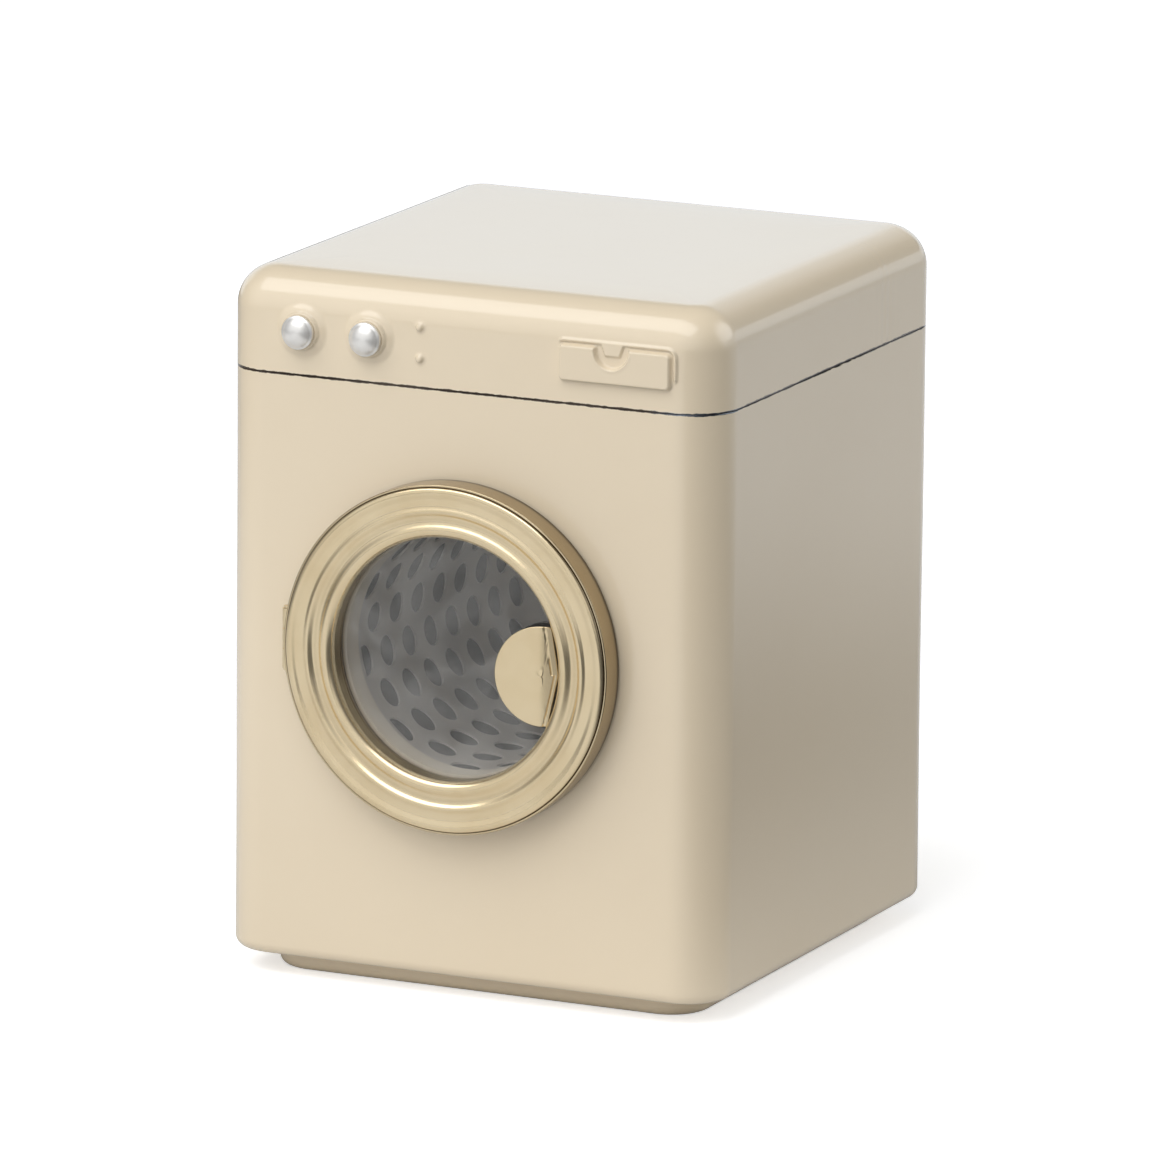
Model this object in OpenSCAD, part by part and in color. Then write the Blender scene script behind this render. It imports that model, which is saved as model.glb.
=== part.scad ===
// Toy washing machine of pressed tinplate: a rounded cabinet on a plinth, a slip lid that carries
// the control panel, a round door on a side hinge and a perforated drum on a rear bearing.
// Millimetres. The origin is the centre of the base, the front faces -Y and +Z is up.

/* [Cabinet] */
// Width of the cabinet and the lid
body_w = 93.8; // [90:0.1:110]
// Depth of the cabinet and the lid, front panel to back
body_d = 95.3; // [92:0.1:115]
// Height over all, from the table to the top of the lid
total_h = 125; // [122:0.5:140]
// Radius of the four upright corners
corner_r = 8.4; // [8:0.1:11]
// Thickness of the painted tinplate
sheet = 0.5; // [0.4:0.05:0.6]
// Radius of the cabinet's lower edge
bottom_edge_r = 1.9; // [1.2:0.1:2.6]

/* [Plinth] */
// Height of the plinth under the cabinet
plinth_h = 3.8; // [3:0.1:6]
// How far the plinth stands in from the cabinet's sides
plinth_inset = 6; // [5:0.1:9]
// Radius of the plinth's upright corners
plinth_corner_r = 7.7; // [5:0.1:12]
// Radius of the plinth's lower edge
plinth_edge_r = 1.6; // [1:0.1:2.5]
// Gap between the base pan's flange and the curve of the cabinet's lower edge
pan_gap = 0.3; // [0.2:0.05:0.5]

/* [Lid] */
// Height of the slip lid, from the seam up
lid_h = 17.9; // [17:0.1:22]
// Radius of the lid's top edge
lid_edge_r = 7.35; // [6:0.05:7.8]
// Width of the dark seam between cabinet and lid
seam_gap = 0.3; // [0.2:0.05:0.6]
// How far the neck band reaches up into the lid
neck_up = 4.4; // [3:0.1:5]
// How far the neck band reaches down inside the cabinet
neck_down = 8; // [5:0.5:12]
// Slip clearance between the neck band and the lid, all round
neck_clear = 0.3; // [0.25:0.05:0.4]

/* [Control panel] */
// Distance of the left knob from the cabinet's left side
knob_from_left = 15.6; // [14:0.1:18]
// Distance between the two knobs
knob_spacing = 12.8; // [12:0.1:14]
// Height of the knobs' axes over the seam
knob_up = 7.8; // [7.5:0.1:9]
// Radius of a knob's head
knob_r = 2.95; // [2.5:0.05:3.2]
// Height of a knob's dome over its rim
knob_dome_h = 1.5; // [1:0.1:2]
// Thickness of a knob's rim
knob_rim_h = 0.6; // [0.4:0.1:1]
// Radius of a knob's shank
knob_shank_r = 1.5; // [1.2:0.05:1.8]
// Radius of the raised neck that a knob stands on
knob_neck_r = 3.3; // [3:0.05:3.6]
// Height of that neck over the panel
knob_neck_h = 1.1; // [0.8:0.1:1.6]
// Radius of the shallow boss round each knob
knob_boss_r = 4.9; // [4.4:0.1:5.4]
// Height of the shallow boss
knob_boss_h = 0.4; // [0.2:0.05:0.6]
// Width of the boss's sloping edge
knob_boss_slope = 0.7; // [0.4:0.05:1]
// Width of the sloping side of the knob's neck
knob_neck_slope = 0.2; // [0.1:0.05:0.4]
// Distance of the two embossed dots from the left side
dots_from_left = 38.05; // [36:0.1:40]
// Distance between the dots
dot_spacing = 5.5; // [4:0.1:6.5]
// Radius of a dot
dot_r = 1.05; // [0.8:0.05:1.3]
// Height of a dot
dot_h = 0.7; // [0.4:0.05:0.9]

/* [Soap drawer] */
// Width of the embossed drawer front
drawer_w = 20.7; // [18:0.1:23]
// Height of the embossed drawer front
drawer_h = 6.2; // [5:0.1:7]
// How far the drawer front stands proud of the panel
drawer_proud = 1; // [0.6:0.05:1.3]
// Distance of the drawer front from the right side
drawer_from_right = 8.6; // [8:0.1:12]
// Height of the drawer front's lower edge over the seam
drawer_up = 4.1; // [3.5:0.1:5]
// Radius of the drawer front's corners
drawer_corner_r = 0.8; // [0.5:0.1:1.5]
// Radius of the thumb recess in the drawer front
thumb_r = 2.9; // [2.2:0.1:3.2]
// Distance of the thumb recess from the drawer's left end
thumb_from_left = 9.8; // [8:0.1:12]
// Depth of the recess's centre below the drawer's upper edge
thumb_down = 0.4; // [0.2:0.1:0.8]
// Width of the tongue over the recess where it leaves the ridge
tongue_top_w = 4; // [3.4:0.1:5]
// Width of the tongue at its lower end
tongue_end_w = 2.6; // [2:0.1:3.2]
// Width of the ridge pressed round the drawer's top and right
ridge_w = 0.8; // [0.5:0.1:1.1]
// Height of that ridge
ridge_h = 0.45; // [0.3:0.05:0.7]
// Width of the groove between the ridge and the drawer front
ridge_gap = 0.45; // [0.3:0.05:0.8]

/* [Door] */
// Sideways place of the door's centre
door_x = -1.3; // [-3:0.1:2]
// Height of the door's centre
door_z = 61.2; // [55:0.1:66]
// How far the door stands proud of the front panel
door_proud = 6; // [5.6:0.1:7]
// Outer radius of the door's side band
door_r = 30.6; // [30:0.1:32]
// Width of the door's ring, from its side band in to the window
ring_w = 9.3; // [9.1:0.1:10]
// Thickness of the side band's sheet
band_t = 0.5; // [0.4:0.05:0.6]
// Width of the hem turned in at the back of the side band
hem_w = 1.3; // [1:0.1:1.8]
// Thickness of the brass-coloured sheet of the face and the handle
trim_t = 0.4; // [0.3:0.05:0.5]
// Step from the side band forward to the face
step_h = 0.6; // [0.5:0.05:0.8]
// Step from the side band in to the face
step_w = 0.4; // [0.2:0.05:0.6]
// Height of the beads pressed into the face ring
bead_h = 0.6; // [0.3:0.05:0.8]
// Distance from one bead to the next
bead_pitch = 1.7; // [1.5:0.05:1.8]
// Distance from the window's edge out to the innermost bead's crest
bead_from_window = 1.95; // [1.7:0.05:2.2]
// Flat width of that crest, before it rolls down to the window
crest_w = 0.4; // [0.2:0.05:0.6]
// Width of the face ring's outer roll, which takes up the step's whole height
face_roll_w = 1.1; // [0.8:0.05:1.4]
// Thickness of the clear pane
pane_t = 0.8; // [0.6:0.05:1]
// How far the pane reaches behind the face ring, past the window's edge
pane_lap = 3.1; // [2.5:0.1:3.4]
// Thickness of the door's back ring
back_ring_t = 0.8; // [0.6:0.05:1]
// Gap between the closed door and the front panel
door_gap = 0.3; // [0.25:0.05:0.4]
// Radius of the black disc magnet
magnet_r = 8.8; // [7:0.1:9.2]

/* [Handle] */
// Radius of the half-round pull tab
tab_r = 8.75; // [7.5:0.05:9]
// Depth of the tab's face behind the face ring
tab_sunk = 1.5; // [1:0.1:2]
// Distance of the tab's round centre inside the window's edge
tab_from_window = 3.5; // [3.1:0.1:4.3]
// Distance of the tab's round centre below the door's centre
tab_drop = 1.2; // [0:0.1:1.6]
// How far the tab reaches past its round centre, at the apex of its right-hand edge
tab_reach = 2.75; // [2.2:0.05:3]
// How far its right-hand edge stands back from the apex, at the top end
tab_top_back = 1.25; // [0.8:0.05:1.6]
// How far its right-hand edge stands back from the apex, at the lower end
tab_low_back = 1.8; // [1.2:0.05:2.2]
// Height of the apex over the tab's round centre
tab_apex_up = 0.3; // [0:0.05:1]
// Place of the tab's bend, left of its round centre
tab_bend_left = 0.6; // [0:0.1:1.2]
// How far the tab falls back from the bend to its right-hand edge
tab_bend_drop = 0.55; // [0.2:0.05:0.8]
// Thickness of the folded leg under the tab's right-hand edge
tab_leg_t = 0.5; // [0.4:0.05:0.7]
// Width of the leg's foot on the pane
tab_foot_w = 1.4; // [1:0.1:1.8]

/* [Hinge] */
// Height of the hinge
hinge_h = 10.6; // [9:0.1:12]
// Outer radius of the hinge barrel
barrel_r = 1; // [0.9:0.05:1.1]
// Radius of the hinge pin
pin_r = 0.45; // [0.35:0.05:0.5]
// Radius of the peened heads of the pin
pin_head_r = 0.75; // [0.6:0.05:0.9]
// Thickness of those heads
pin_head_h = 0.35; // [0.2:0.05:0.5]
// Distance of the hinge's axis outside the door's side band
hinge_out = 0.9; // [0.8:0.05:1.2]
// Distance of the hinge's axis in front of the panel
hinge_off = 1.8; // [1.7:0.05:2]
// Thickness of the hinge's two leaves
leaf_t = 0.5; // [0.4:0.05:0.6]
// Width of the cabinet's leaf, behind the panel
cabinet_leaf_w = 6.5; // [6:0.1:7]
// Reach of the door's leaf from the hinge's axis
door_leaf_reach = 6.1; // [5.4:0.1:6.6]
// Height of the door's leaf
door_leaf_h = 6.4; // [5.6:0.1:7]
// Distance of the rivets from the end of either leaf
rivet_inset = 1.75; // [1.4:0.05:2]
// Depth of the notch that the hinge needs in the door's edge, from the edge in
hinge_notch_d = 2.4; // [2.2:0.1:3]
// Clearance round the knuckles in that notch
hinge_clear = 0.4; // [0.3:0.05:0.6]

/* [Drum] */
// How much larger the liner's inner radius is than the window's
drum_over_window = 0.45; // [0.3:0.05:0.7]
// Length of the drum
drum_l = 71.5; // [66:0.1:73]
// Distance of the drum's mouth behind the front panel
drum_set_back = 5; // [4.5:0.1:6]
// Thickness of the drum's sheet
drum_t = 0.4; // [0.3:0.05:0.5]
// Gap between the liner and the plain can round it
liner_gap = 0.8; // [0.5:0.1:1.2]
// Radius of a hole in the liner
hole_r = 2.7; // [2:0.1:2.8]
// Distance of the first holes' centres behind the drum's mouth
first_hole_back = 2.6; // [2:0.1:4]
// Bare sheet left behind the last holes
hole_margin = 1; // [0.5:0.1:3]
// Distance from one hole to the next along the drum
hole_pitch = 8.65; // [8:0.05:10]
// Rows of holes round the drum, an even number
hole_rows = 20; // [16:2:20]
// Where the first row of holes lies, turned from the right-hand side
first_row_angle = 13; // [0:1:17]
// Depth of the rolled rim's skirt outside the can
rim_skirt = 3.4; // [2.5:0.1:4.5]
// Depth of the rims that centre the liner in the can, at either end
spacer_l = 2; // [1.5:0.1:3]
// Radius of the drum's axle
axle_r = 2; // [1.5:0.1:2.5]
// Radius of the axle's head inside the drum
axle_head_r = 4; // [3.2:0.1:4.5]
// Height of that head
axle_head_h = 1.2; // [0.8:0.1:1.6]
// Wall of the bush round the axle
bush_wall = 1.5; // [1:0.1:2]
// Width of the bush's flange
bush_flange_w = 1.5; // [1:0.1:2]
// Thickness of the bush's flange
bush_flange_t = 0.8; // [0.6:0.1:1.2]
// Length of the bush behind the bearing bracket's front
bush_behind = 2; // [1.5:0.1:2.5]
// Radius of the hub washer on the can's back
hub_r = 9; // [7:0.1:11]
// Thickness of the hub washer
hub_t = 1.2; // [0.8:0.1:1.6]

/* [Bearing bracket] */
// Thickness of the bracket's strip
bracket_t = 0.8; // [0.6:0.1:1]
// Height of the strip
bracket_h = 18; // [14:0.5:24]
// Width of the bracket's front, which carries the bush
bracket_w = 18; // [16:0.5:20]
// Width across the legs where they meet the back wall
bracket_base_w = 24; // [22:0.5:27]
// Width of each foot on the back wall
bracket_foot_w = 5; // [4:0.1:6]
// Height of the rivets above and below the axle
bracket_rivet_up = 5; // [4:0.5:6]
// Radius of the bracket's rivets
back_rivet_r = 1; // [0.8:0.05:1.1]

/* [Porthole collar] */
// Thickness of the collar's sheet
collar_t = 0.5; // [0.4:0.05:0.6]
// How far the collar stands inside the line of the window
collar_in = 0.1; // [0:0.05:0.3]
// Width of the collar's flange behind the panel
collar_flange_w = 2.2; // [1.6:0.1:2.6]
// Gap between the collar's end and the turning drum
collar_gap = 0.4; // [0.3:0.05:0.6]

/* [Fits] */
// Radial running clearance of a shaft in its bore
run_fit = 0.05; // [0.03:0.01:0.08]
// Face-to-face running gap between turning pieces
side_play = 0.2; // [0.15:0.05:0.3]
// Radius of the small tinsmith's rivets
rivet_r = 0.5; // [0.4:0.05:0.6]
// Thickness of the push-on clips
clip_t = 0.5; // [0.4:0.05:0.6]
// Width of a knob's push-on clip round its shank
knob_clip_w = 1.7; // [1.2:0.1:2]
// Width of the axle's push-on clip round the axle
axle_clip_w = 2.5; // [2:0.1:3]
// How far a shank or the axle stands out behind its clip
stub_l = 0.7; // [0.5:0.05:1]

/* [Hidden] */
$fn = 72;

// A cut runs past the faces it opens by this much
over = 1;
// Small clearance between pieces that are fixed together
snug = 0.05;
// Forms pressed in one sheet run into each other by this much
lap = 0.1;

cream = [0.87, 0.82, 0.73];
gold = [0.80, 0.69, 0.48];
tin = [0.66, 0.66, 0.65];
silver = [0.85, 0.86, 0.87];
bronze = [0.72, 0.58, 0.34];
dull_steel = [0.52, 0.50, 0.48];
clear_grey = [0.75, 0.82, 0.86, 0.4];
black = [0.08, 0.08, 0.08];

front_y = -body_d / 2;
seam_z = total_h - lid_h;
shell_top = seam_z - seam_gap / 2;
lid_bottom = seam_z + seam_gap / 2;
shell_h = shell_top - plinth_h;

left_knob_x = -body_w / 2 + knob_from_left;
right_knob_x = left_knob_x + knob_spacing;
knob_z = seam_z + knob_up;
dots_x = -body_w / 2 + dots_from_left;
drawer_x = body_w / 2 - drawer_from_right - drawer_w;
drawer_z = seam_z + drawer_up;

// Heights below are distances in front of the front panel, as the door is built up from it
window_r = door_r - ring_w;
back_ring_out = door_gap + band_t;
pane_out = back_ring_out + back_ring_t;
flange_out = pane_out + pane_t;
band_front = door_proud - step_h;
face_r = door_r - step_w;
face_roll_h = step_h - snug;
skirt_r = door_r - band_t - snug;
pane_r = window_r + pane_lap;
bead_in_r = window_r + bead_from_window;
inner_roll_r = bead_from_window - crest_w;
pane_play = 0.2;
back_ring_set = 0.3;
tab_x = window_r - tab_from_window;
magnet_shift = 0.1;
magnet_x = tab_x + magnet_shift;
magnet_z = -tab_drop + magnet_shift;

hinge_x = -(door_r + hinge_out);
knuckle_gap = side_play;
knuckle_share = 0.32;
middle_knuckle_h = knuckle_share * hinge_h;
cabinet_rivet_x = hinge_x + cabinet_leaf_w - rivet_inset;
cabinet_rivet_z = knuckle_share * hinge_h;
door_rivet_x = hinge_x + door_leaf_reach - rivet_inset;
door_rivet_z = door_leaf_h / 5;

collar_r = window_r - collar_in;
porthole_r = collar_r + collar_t + snug;

// Places along the drum are distances in front of the panel too, so they are negative
drum_r = window_r + drum_over_window;
drum_front = -drum_set_back;
drum_end = drum_front - drum_l;
liner_outer_r = drum_r + drum_t;
can_inner_r = liner_outer_r + liner_gap;
can_outer_r = can_inner_r + drum_t;
hub_end = drum_end - hub_t;
bracket_front = hub_end - side_play - bush_flange_t;
back_inside = -(body_d - sheet);
bush_r = axle_r + bush_wall;
bush_end = bracket_front - bracket_t - bush_behind;
axle_end = bush_end - side_play - clip_t - stub_l;

// A rivet's head, as shares of its shank's radius
rivet_head_r = 1.7;
rivet_head_h = 0.8;

// Places its children on the front panel: their x points right, their y up and their z out of it
module on_front(x, z) {
    translate([x, front_y, z]) rotate([90, 0, 0]) children();
}

// The same, about the door's centre
module on_door() {
    on_front(door_x, door_z) children();
}

// Ring about the local z axis, between two radii and two heights
module ring(outer_r, inner_r, low, high) {
    translate([0, 0, low]) difference() {
        cylinder(r = outer_r, h = high - low);
        translate([0, 0, -over]) cylinder(r = inner_r, h = high - low + 2 * over);
    }
}

// Upright rectangle with round corners, as four corner discs and two crossing bars
module rounded_rect(w, d, r) {
    square([w - 2 * r, d], center = true);
    square([w, d - 2 * r], center = true);
    for (x = [-1, 1], y = [-1, 1]) translate([x * (w / 2 - r), y * (d / 2 - r)]) circle(r);
}

// Section of a block's rim, from the corner's centre outwards, with its top outer edge rolled over
module rim_section(r, h, edge_r) {
    square([r, h - edge_r]);
    square([r - edge_r, h]);
    intersection() {
        translate([r - edge_r, h - edge_r]) circle(edge_r);
        square([r, h]);
    }
}

// Block with round upright corners and a rolled top edge, standing on z = 0
module rolled_block(w, d, h, r, edge_r) {
    half_w = w / 2 - r;
    half_d = d / 2 - r;
    translate([-half_w, -half_d, 0]) cube([2 * half_w, 2 * half_d, h]);
    for (side = [0, 1]) {
        mirror([0, side, 0]) translate([-half_w, half_d, 0]) rotate([90, 0, 90])
            linear_extrude(2 * half_w) rim_section(r, h, edge_r);
        mirror([side, 0, 0]) translate([half_w, half_d, 0]) rotate([90, 0, 0])
            linear_extrude(2 * half_d) rim_section(r, h, edge_r);
        for (end = [0, 1]) mirror([side, 0, 0]) mirror([0, end, 0]) translate([half_w, half_d, 0])
            rotate_extrude(angle = 90) rim_section(r, h, edge_r);
    }
}

// Cap of a sphere, flat side on z = 0
module dome(r, h) {
    sphere_r = (r * r + h * h) / (2 * h);
    intersection() {
        translate([0, 0, h - sphere_r]) sphere(sphere_r);
        cylinder(r = r + over, h = h + over);
    }
}

// Rivet along local z, with a domed head at each end of its grip
module rivet(r, low, high) {
    translate([0, 0, low]) cylinder(r = r, h = high - low);
    translate([0, 0, high]) dome(rivet_head_r * r, rivet_head_h * r);
    translate([0, 0, low]) mirror([0, 0, 1]) dome(rivet_head_r * r, rivet_head_h * r);
}

// Hole for such a rivet, through sheets that lie between two heights
module rivet_hole(r, low, high) {
    translate([0, 0, low - over]) cylinder(r = r + snug, h = high - low + 2 * over);
}

// Rounded tinplate walls with a turned-in floor flange, open at the top
module cabinet_shell() {
    color(cream) difference() {
        translate([0, 0, shell_top]) mirror([0, 0, 1])
            rolled_block(body_w, body_d, shell_h, corner_r, bottom_edge_r);
        translate([0, 0, shell_top + over]) mirror([0, 0, 1])
            rolled_block(body_w - 2 * sheet, body_d - 2 * sheet, shell_h + over - sheet,
                         corner_r - sheet, bottom_edge_r - sheet);
        translate([0, 0, plinth_h - over]) linear_extrude(sheet + 2 * over)
            rounded_rect(body_w - 2 * plinth_inset + 2 * snug, body_d - 2 * plinth_inset + 2 * snug,
                         plinth_corner_r + snug);
        on_door() translate([0, 0, -sheet - over]) cylinder(r = porthole_r, h = sheet + 2 * over);
        on_door() hinge_slot();
        on_door() cabinet_leaf_rivet_places() rivet_hole(rivet_r, -sheet, 0);
        on_door() bearing_rivet_places() rivet_hole(back_rivet_r, back_inside - sheet, back_inside);
    }
}

// Slot in the front panel that the cabinet's hinge leaf passes through
module hinge_slot() {
    slot_w = leaf_t + 2 * snug;
    slot_h = hinge_h + 2 * snug;
    translate([hinge_x - slot_w / 2, -slot_h / 2, -sheet - over]) cube([slot_w, slot_h, sheet + 2 * over]);
}

// Pressed tray that closes the cabinet from inside; its sunk floor is the plinth
module base_pan() {
    pan_w = body_w - 2 * plinth_inset;
    pan_d = body_d - 2 * plinth_inset;
    flange_w = plinth_inset - bottom_edge_r - pan_gap;
    flange_z = plinth_h + sheet;
    color(cream) difference() {
        union() {
            translate([0, 0, flange_z + sheet]) mirror([0, 0, 1])
                rolled_block(pan_w, pan_d, flange_z + sheet, plinth_corner_r, plinth_edge_r);
            translate([0, 0, flange_z]) linear_extrude(sheet)
                rounded_rect(pan_w + 2 * flange_w, pan_d + 2 * flange_w, plinth_corner_r);
        }
        translate([0, 0, flange_z + sheet + over]) mirror([0, 0, 1])
            rolled_block(pan_w - 2 * sheet, pan_d - 2 * sheet, flange_z + over,
                         plinth_corner_r - sheet, plinth_edge_r - sheet);
    }
}

// Upright strip round a rounded rectangle, between two heights
module band_ring(w, d, r, t, low, high) {
    translate([0, 0, low]) difference() {
        linear_extrude(high - low) rounded_rect(w, d, r);
        translate([0, 0, -over]) linear_extrude(high - low + 2 * over)
            rounded_rect(w - 2 * t, d - 2 * t, r - t);
    }
}

// Joggled strip inside the cabinet's mouth; its upper part is the neck that the lid slips over
module neck_band() {
    low_in = sheet + snug;
    high_in = sheet + neck_clear;
    color(tin) union() {
        band_ring(body_w - 2 * low_in, body_d - 2 * low_in, corner_r - low_in, sheet,
                  seam_z - neck_down, shell_top - sheet);
        band_ring(body_w - 2 * high_in, body_d - 2 * high_in, corner_r - high_in, sheet,
                  shell_top - 2 * sheet, seam_z + neck_up);
    }
}

// Drawn collar in the porthole: the light tunnel between the pane and the drum
module porthole_collar() {
    tube_end = drum_front + collar_gap;
    flange_r = collar_r + collar_t + collar_flange_w;
    color(cream) on_door() rotate_extrude() polygon([
        [collar_r, 0], [collar_r + collar_t, 0], [collar_r + collar_t, -sheet],
        [flange_r, -sheet], [flange_r, -sheet - collar_t],
        [collar_r + collar_t, -sheet - collar_t], [collar_r + collar_t, tube_end], [collar_r, tube_end]]);
}

// Hat-shaped strip on the inside of the back wall; its front carries the drum's bush
module bearing_bracket() {
    foot_front = back_inside + bracket_t;
    front_x = bracket_w / 2;
    base_x = bracket_base_w / 2;
    foot_x = base_x + bracket_foot_w;
    color(tin) on_door() difference() {
        translate([0, bracket_h / 2, 0]) rotate([90, 0, 0]) linear_extrude(bracket_h) polygon([
            [-foot_x, foot_front], [-base_x, foot_front], [-front_x, bracket_front],
            [front_x, bracket_front], [base_x, foot_front], [foot_x, foot_front],
            [foot_x, back_inside], [base_x - bracket_t, back_inside],
            [front_x - bracket_t, bracket_front - bracket_t],
            [-front_x + bracket_t, bracket_front - bracket_t],
            [-base_x + bracket_t, back_inside], [-foot_x, back_inside]]);
        translate([0, 0, bracket_front - bracket_t - over])
            cylinder(r = bush_r + snug, h = bracket_t + 2 * over);
        bearing_rivet_places() rivet_hole(back_rivet_r, back_inside, foot_front);
    }
}

// Four places on the bracket's feet
module bearing_rivet_places() {
    rivet_x = (bracket_base_w + bracket_foot_w) / 2;
    for (x = [-1, 1], y = [-1, 1]) translate([x * rivet_x, y * bracket_rivet_up, 0]) children();
}

module bearing_rivets() {
    color(tin) on_door() bearing_rivet_places()
        rivet(back_rivet_r, back_inside - sheet, back_inside + bracket_t);
}

// Flanged bush pressed into the bracket
module axle_bush() {
    color(bronze) on_door() union() {
        ring(bush_r + bush_flange_w, axle_r + run_fit, bracket_front, bracket_front + bush_flange_t);
        ring(bush_r, axle_r + run_fit, bush_end, bracket_front);
    }
}

// Barrel knuckle of the hinge between two heights, bored for the pin
module knuckle(low, high) {
    translate([hinge_x, low, hinge_off]) rotate([-90, 0, 0]) difference() {
        cylinder(r = barrel_r, h = high - low);
        translate([0, 0, -over]) cylinder(r = pin_r + run_fit, h = high - low + 2 * over);
    }
}

// Bore for the pin, through whatever lies on the hinge's axis
module knuckle_bore() {
    translate([hinge_x, -hinge_h / 2 - over, hinge_off]) rotate([-90, 0, 0])
        cylinder(r = pin_r + run_fit, h = hinge_h + 2 * over);
}

// Hinge leaf of the cabinet: two knuckles, a neck through the slot and a leaf behind the panel
module cabinet_hinge_leaf() {
    neck_front = hinge_off - barrel_r - side_play;
    behind = -sheet - leaf_t;
    color(gold) on_door() difference() {
        union() {
            for (side = [-1, 1]) {
                low = side < 0 ? -hinge_h / 2 : middle_knuckle_h / 2 + knuckle_gap;
                high = side < 0 ? -middle_knuckle_h / 2 - knuckle_gap : hinge_h / 2;
                knuckle(low, high);
                translate([hinge_x - leaf_t / 2, low, behind])
                    cube([leaf_t, high - low, hinge_off - behind]);
            }
            translate([hinge_x - leaf_t / 2, -hinge_h / 2, behind])
                cube([leaf_t, hinge_h, neck_front - behind]);
            translate([hinge_x - leaf_t / 2, -hinge_h / 2, behind]) cube([cabinet_leaf_w, hinge_h, leaf_t]);
        }
        knuckle_bore();
        cabinet_leaf_rivet_places() rivet_hole(rivet_r, -sheet - leaf_t, -sheet);
    }
}

// Two places on the cabinet's leaf
module cabinet_leaf_rivet_places() {
    for (side = [-1, 1]) translate([cabinet_rivet_x, side * cabinet_rivet_z, 0]) children();
}

module cabinet_leaf_rivets() {
    color(gold) on_door() cabinet_leaf_rivet_places() rivet(rivet_r, -sheet - leaf_t, 0);
}

// Pin through the three knuckles, with a peened head at each end
module hinge_pin() {
    pin_l = hinge_h + 2 * snug;
    color(gold) on_door() translate([hinge_x, -pin_l / 2, hinge_off]) rotate([-90, 0, 0]) union() {
        cylinder(r = pin_r, h = pin_l);
        translate([0, 0, pin_l]) cylinder(r = pin_head_r, h = pin_head_h);
        translate([0, 0, -pin_head_h]) cylinder(r = pin_head_r, h = pin_head_h);
    }
}

// Clear space that the hinge needs in the door's left side
module hinge_notch() {
    notch_h = hinge_h + 2 * hinge_clear;
    notch_front = hinge_off + barrel_r + hinge_clear;
    translate([-door_r - over, -notch_h / 2, -over])
        cube([hinge_notch_d + over, notch_h, notch_front + over]);
}

// Rolled side wall of the door with a hem turned in at its back
module door_side_band() {
    inner_r = door_r - band_t;
    color(gold) on_door() difference() {
        rotate_extrude() polygon([
            [inner_r - hem_w, door_gap], [door_r, door_gap], [door_r, band_front],
            [inner_r, band_front], [inner_r, back_ring_out], [inner_r - hem_w, back_ring_out]]);
        hinge_notch();
    }
}

// Points along an oval's arc, both ends included
function arc(cx, cy, rx, ry, from, to, steps) =
    [for (i = [0:steps]) let (a = from + (to - from) * i / steps) [cx + rx * cos(a), cy + ry * sin(a)]];

// Crest line of the beads: two full waves, each falling bead_h below the face
function bead_line(drop) =
    [for (i = [0:24]) let (r = bead_in_r + 2 * bead_pitch * (1 - i / 24))
        [r, door_proud - drop - bead_h * (1 - cos(360 * (r - bead_in_r) / bead_pitch)) / 2]];

// The same points in the opposite order
function reversed(list) = [for (i = [len(list) - 1:-1:0]) list[i]];

// Front line of the face ring from its outer edge to the window, set back by a sheet thickness
function face_line(drop) = concat(
    arc(face_r - face_roll_w, band_front + snug, face_roll_w - drop, max(face_roll_h - drop, lap),
        0, 90, 6),
    bead_line(drop),
    arc(window_r + inner_roll_r, door_proud - inner_roll_r, inner_roll_r - drop, inner_roll_r - drop,
        90, 180, 8));

// Stepped and beaded face of the door, with a skirt inside the band and a wall down to the pane
module door_face_ring() {
    skirt_end = pane_out + snug;
    skirt_in = skirt_r - trim_t;
    lip_front = flange_out + trim_t;
    lip_r = pane_r + pane_play;
    color(gold) on_door() difference() {
        rotate_extrude() polygon(concat(
            [[skirt_r, skirt_end], [skirt_r, band_front + snug], [face_r, band_front + snug]],
            face_line(0),
            [[window_r, flange_out], [lip_r, flange_out], [lip_r, lip_front],
             [window_r + trim_t, lip_front]],
            reversed(face_line(trim_t)),
            [[skirt_in, band_front - trim_t], [skirt_in, skirt_end]]));
        hinge_notch();
    }
}

// Clear disc behind the face ring
module window_pane() {
    color(clear_grey) on_door() translate([0, 0, pane_out]) cylinder(r = pane_r, h = pane_t);
}

// Flat ring that clamps the pane from behind, cut out for the magnet
module door_back_ring() {
    color(gold) on_door() difference() {
        ring(skirt_r - snug, window_r + back_ring_set, back_ring_out, pane_out);
        translate([magnet_x, magnet_z, -over]) cylinder(r = magnet_r + snug, h = pane_out + 2 * over);
        translate([-door_r - over, -hinge_h / 2 - hinge_clear, -over])
            cube([hinge_notch_d + over, hinge_h + 2 * hinge_clear, pane_out + 2 * over]);
        door_leaf_rivet_places() rivet_hole(rivet_r, back_ring_out, pane_out);
    }
}

// Outline of the pull tab: a disc cut on the right by two straight edges that meet in an apex
module tab_outline() {
    apex = [tab_x + tab_reach, tab_apex_up];
    top = [apex[0] - tab_top_back, tab_r];
    bottom = [apex[0] - tab_low_back, -tab_r];
    left = tab_x - tab_r - over;
    intersection() {
        translate([tab_x, -tab_drop]) circle(tab_r);
        translate([0, -tab_drop]) polygon([
            [left, tab_r + over], [top[0], tab_r + over], top, apex, bottom,
            [bottom[0], -tab_r - over], [left, -tab_r - over]]);
    }
}

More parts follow.
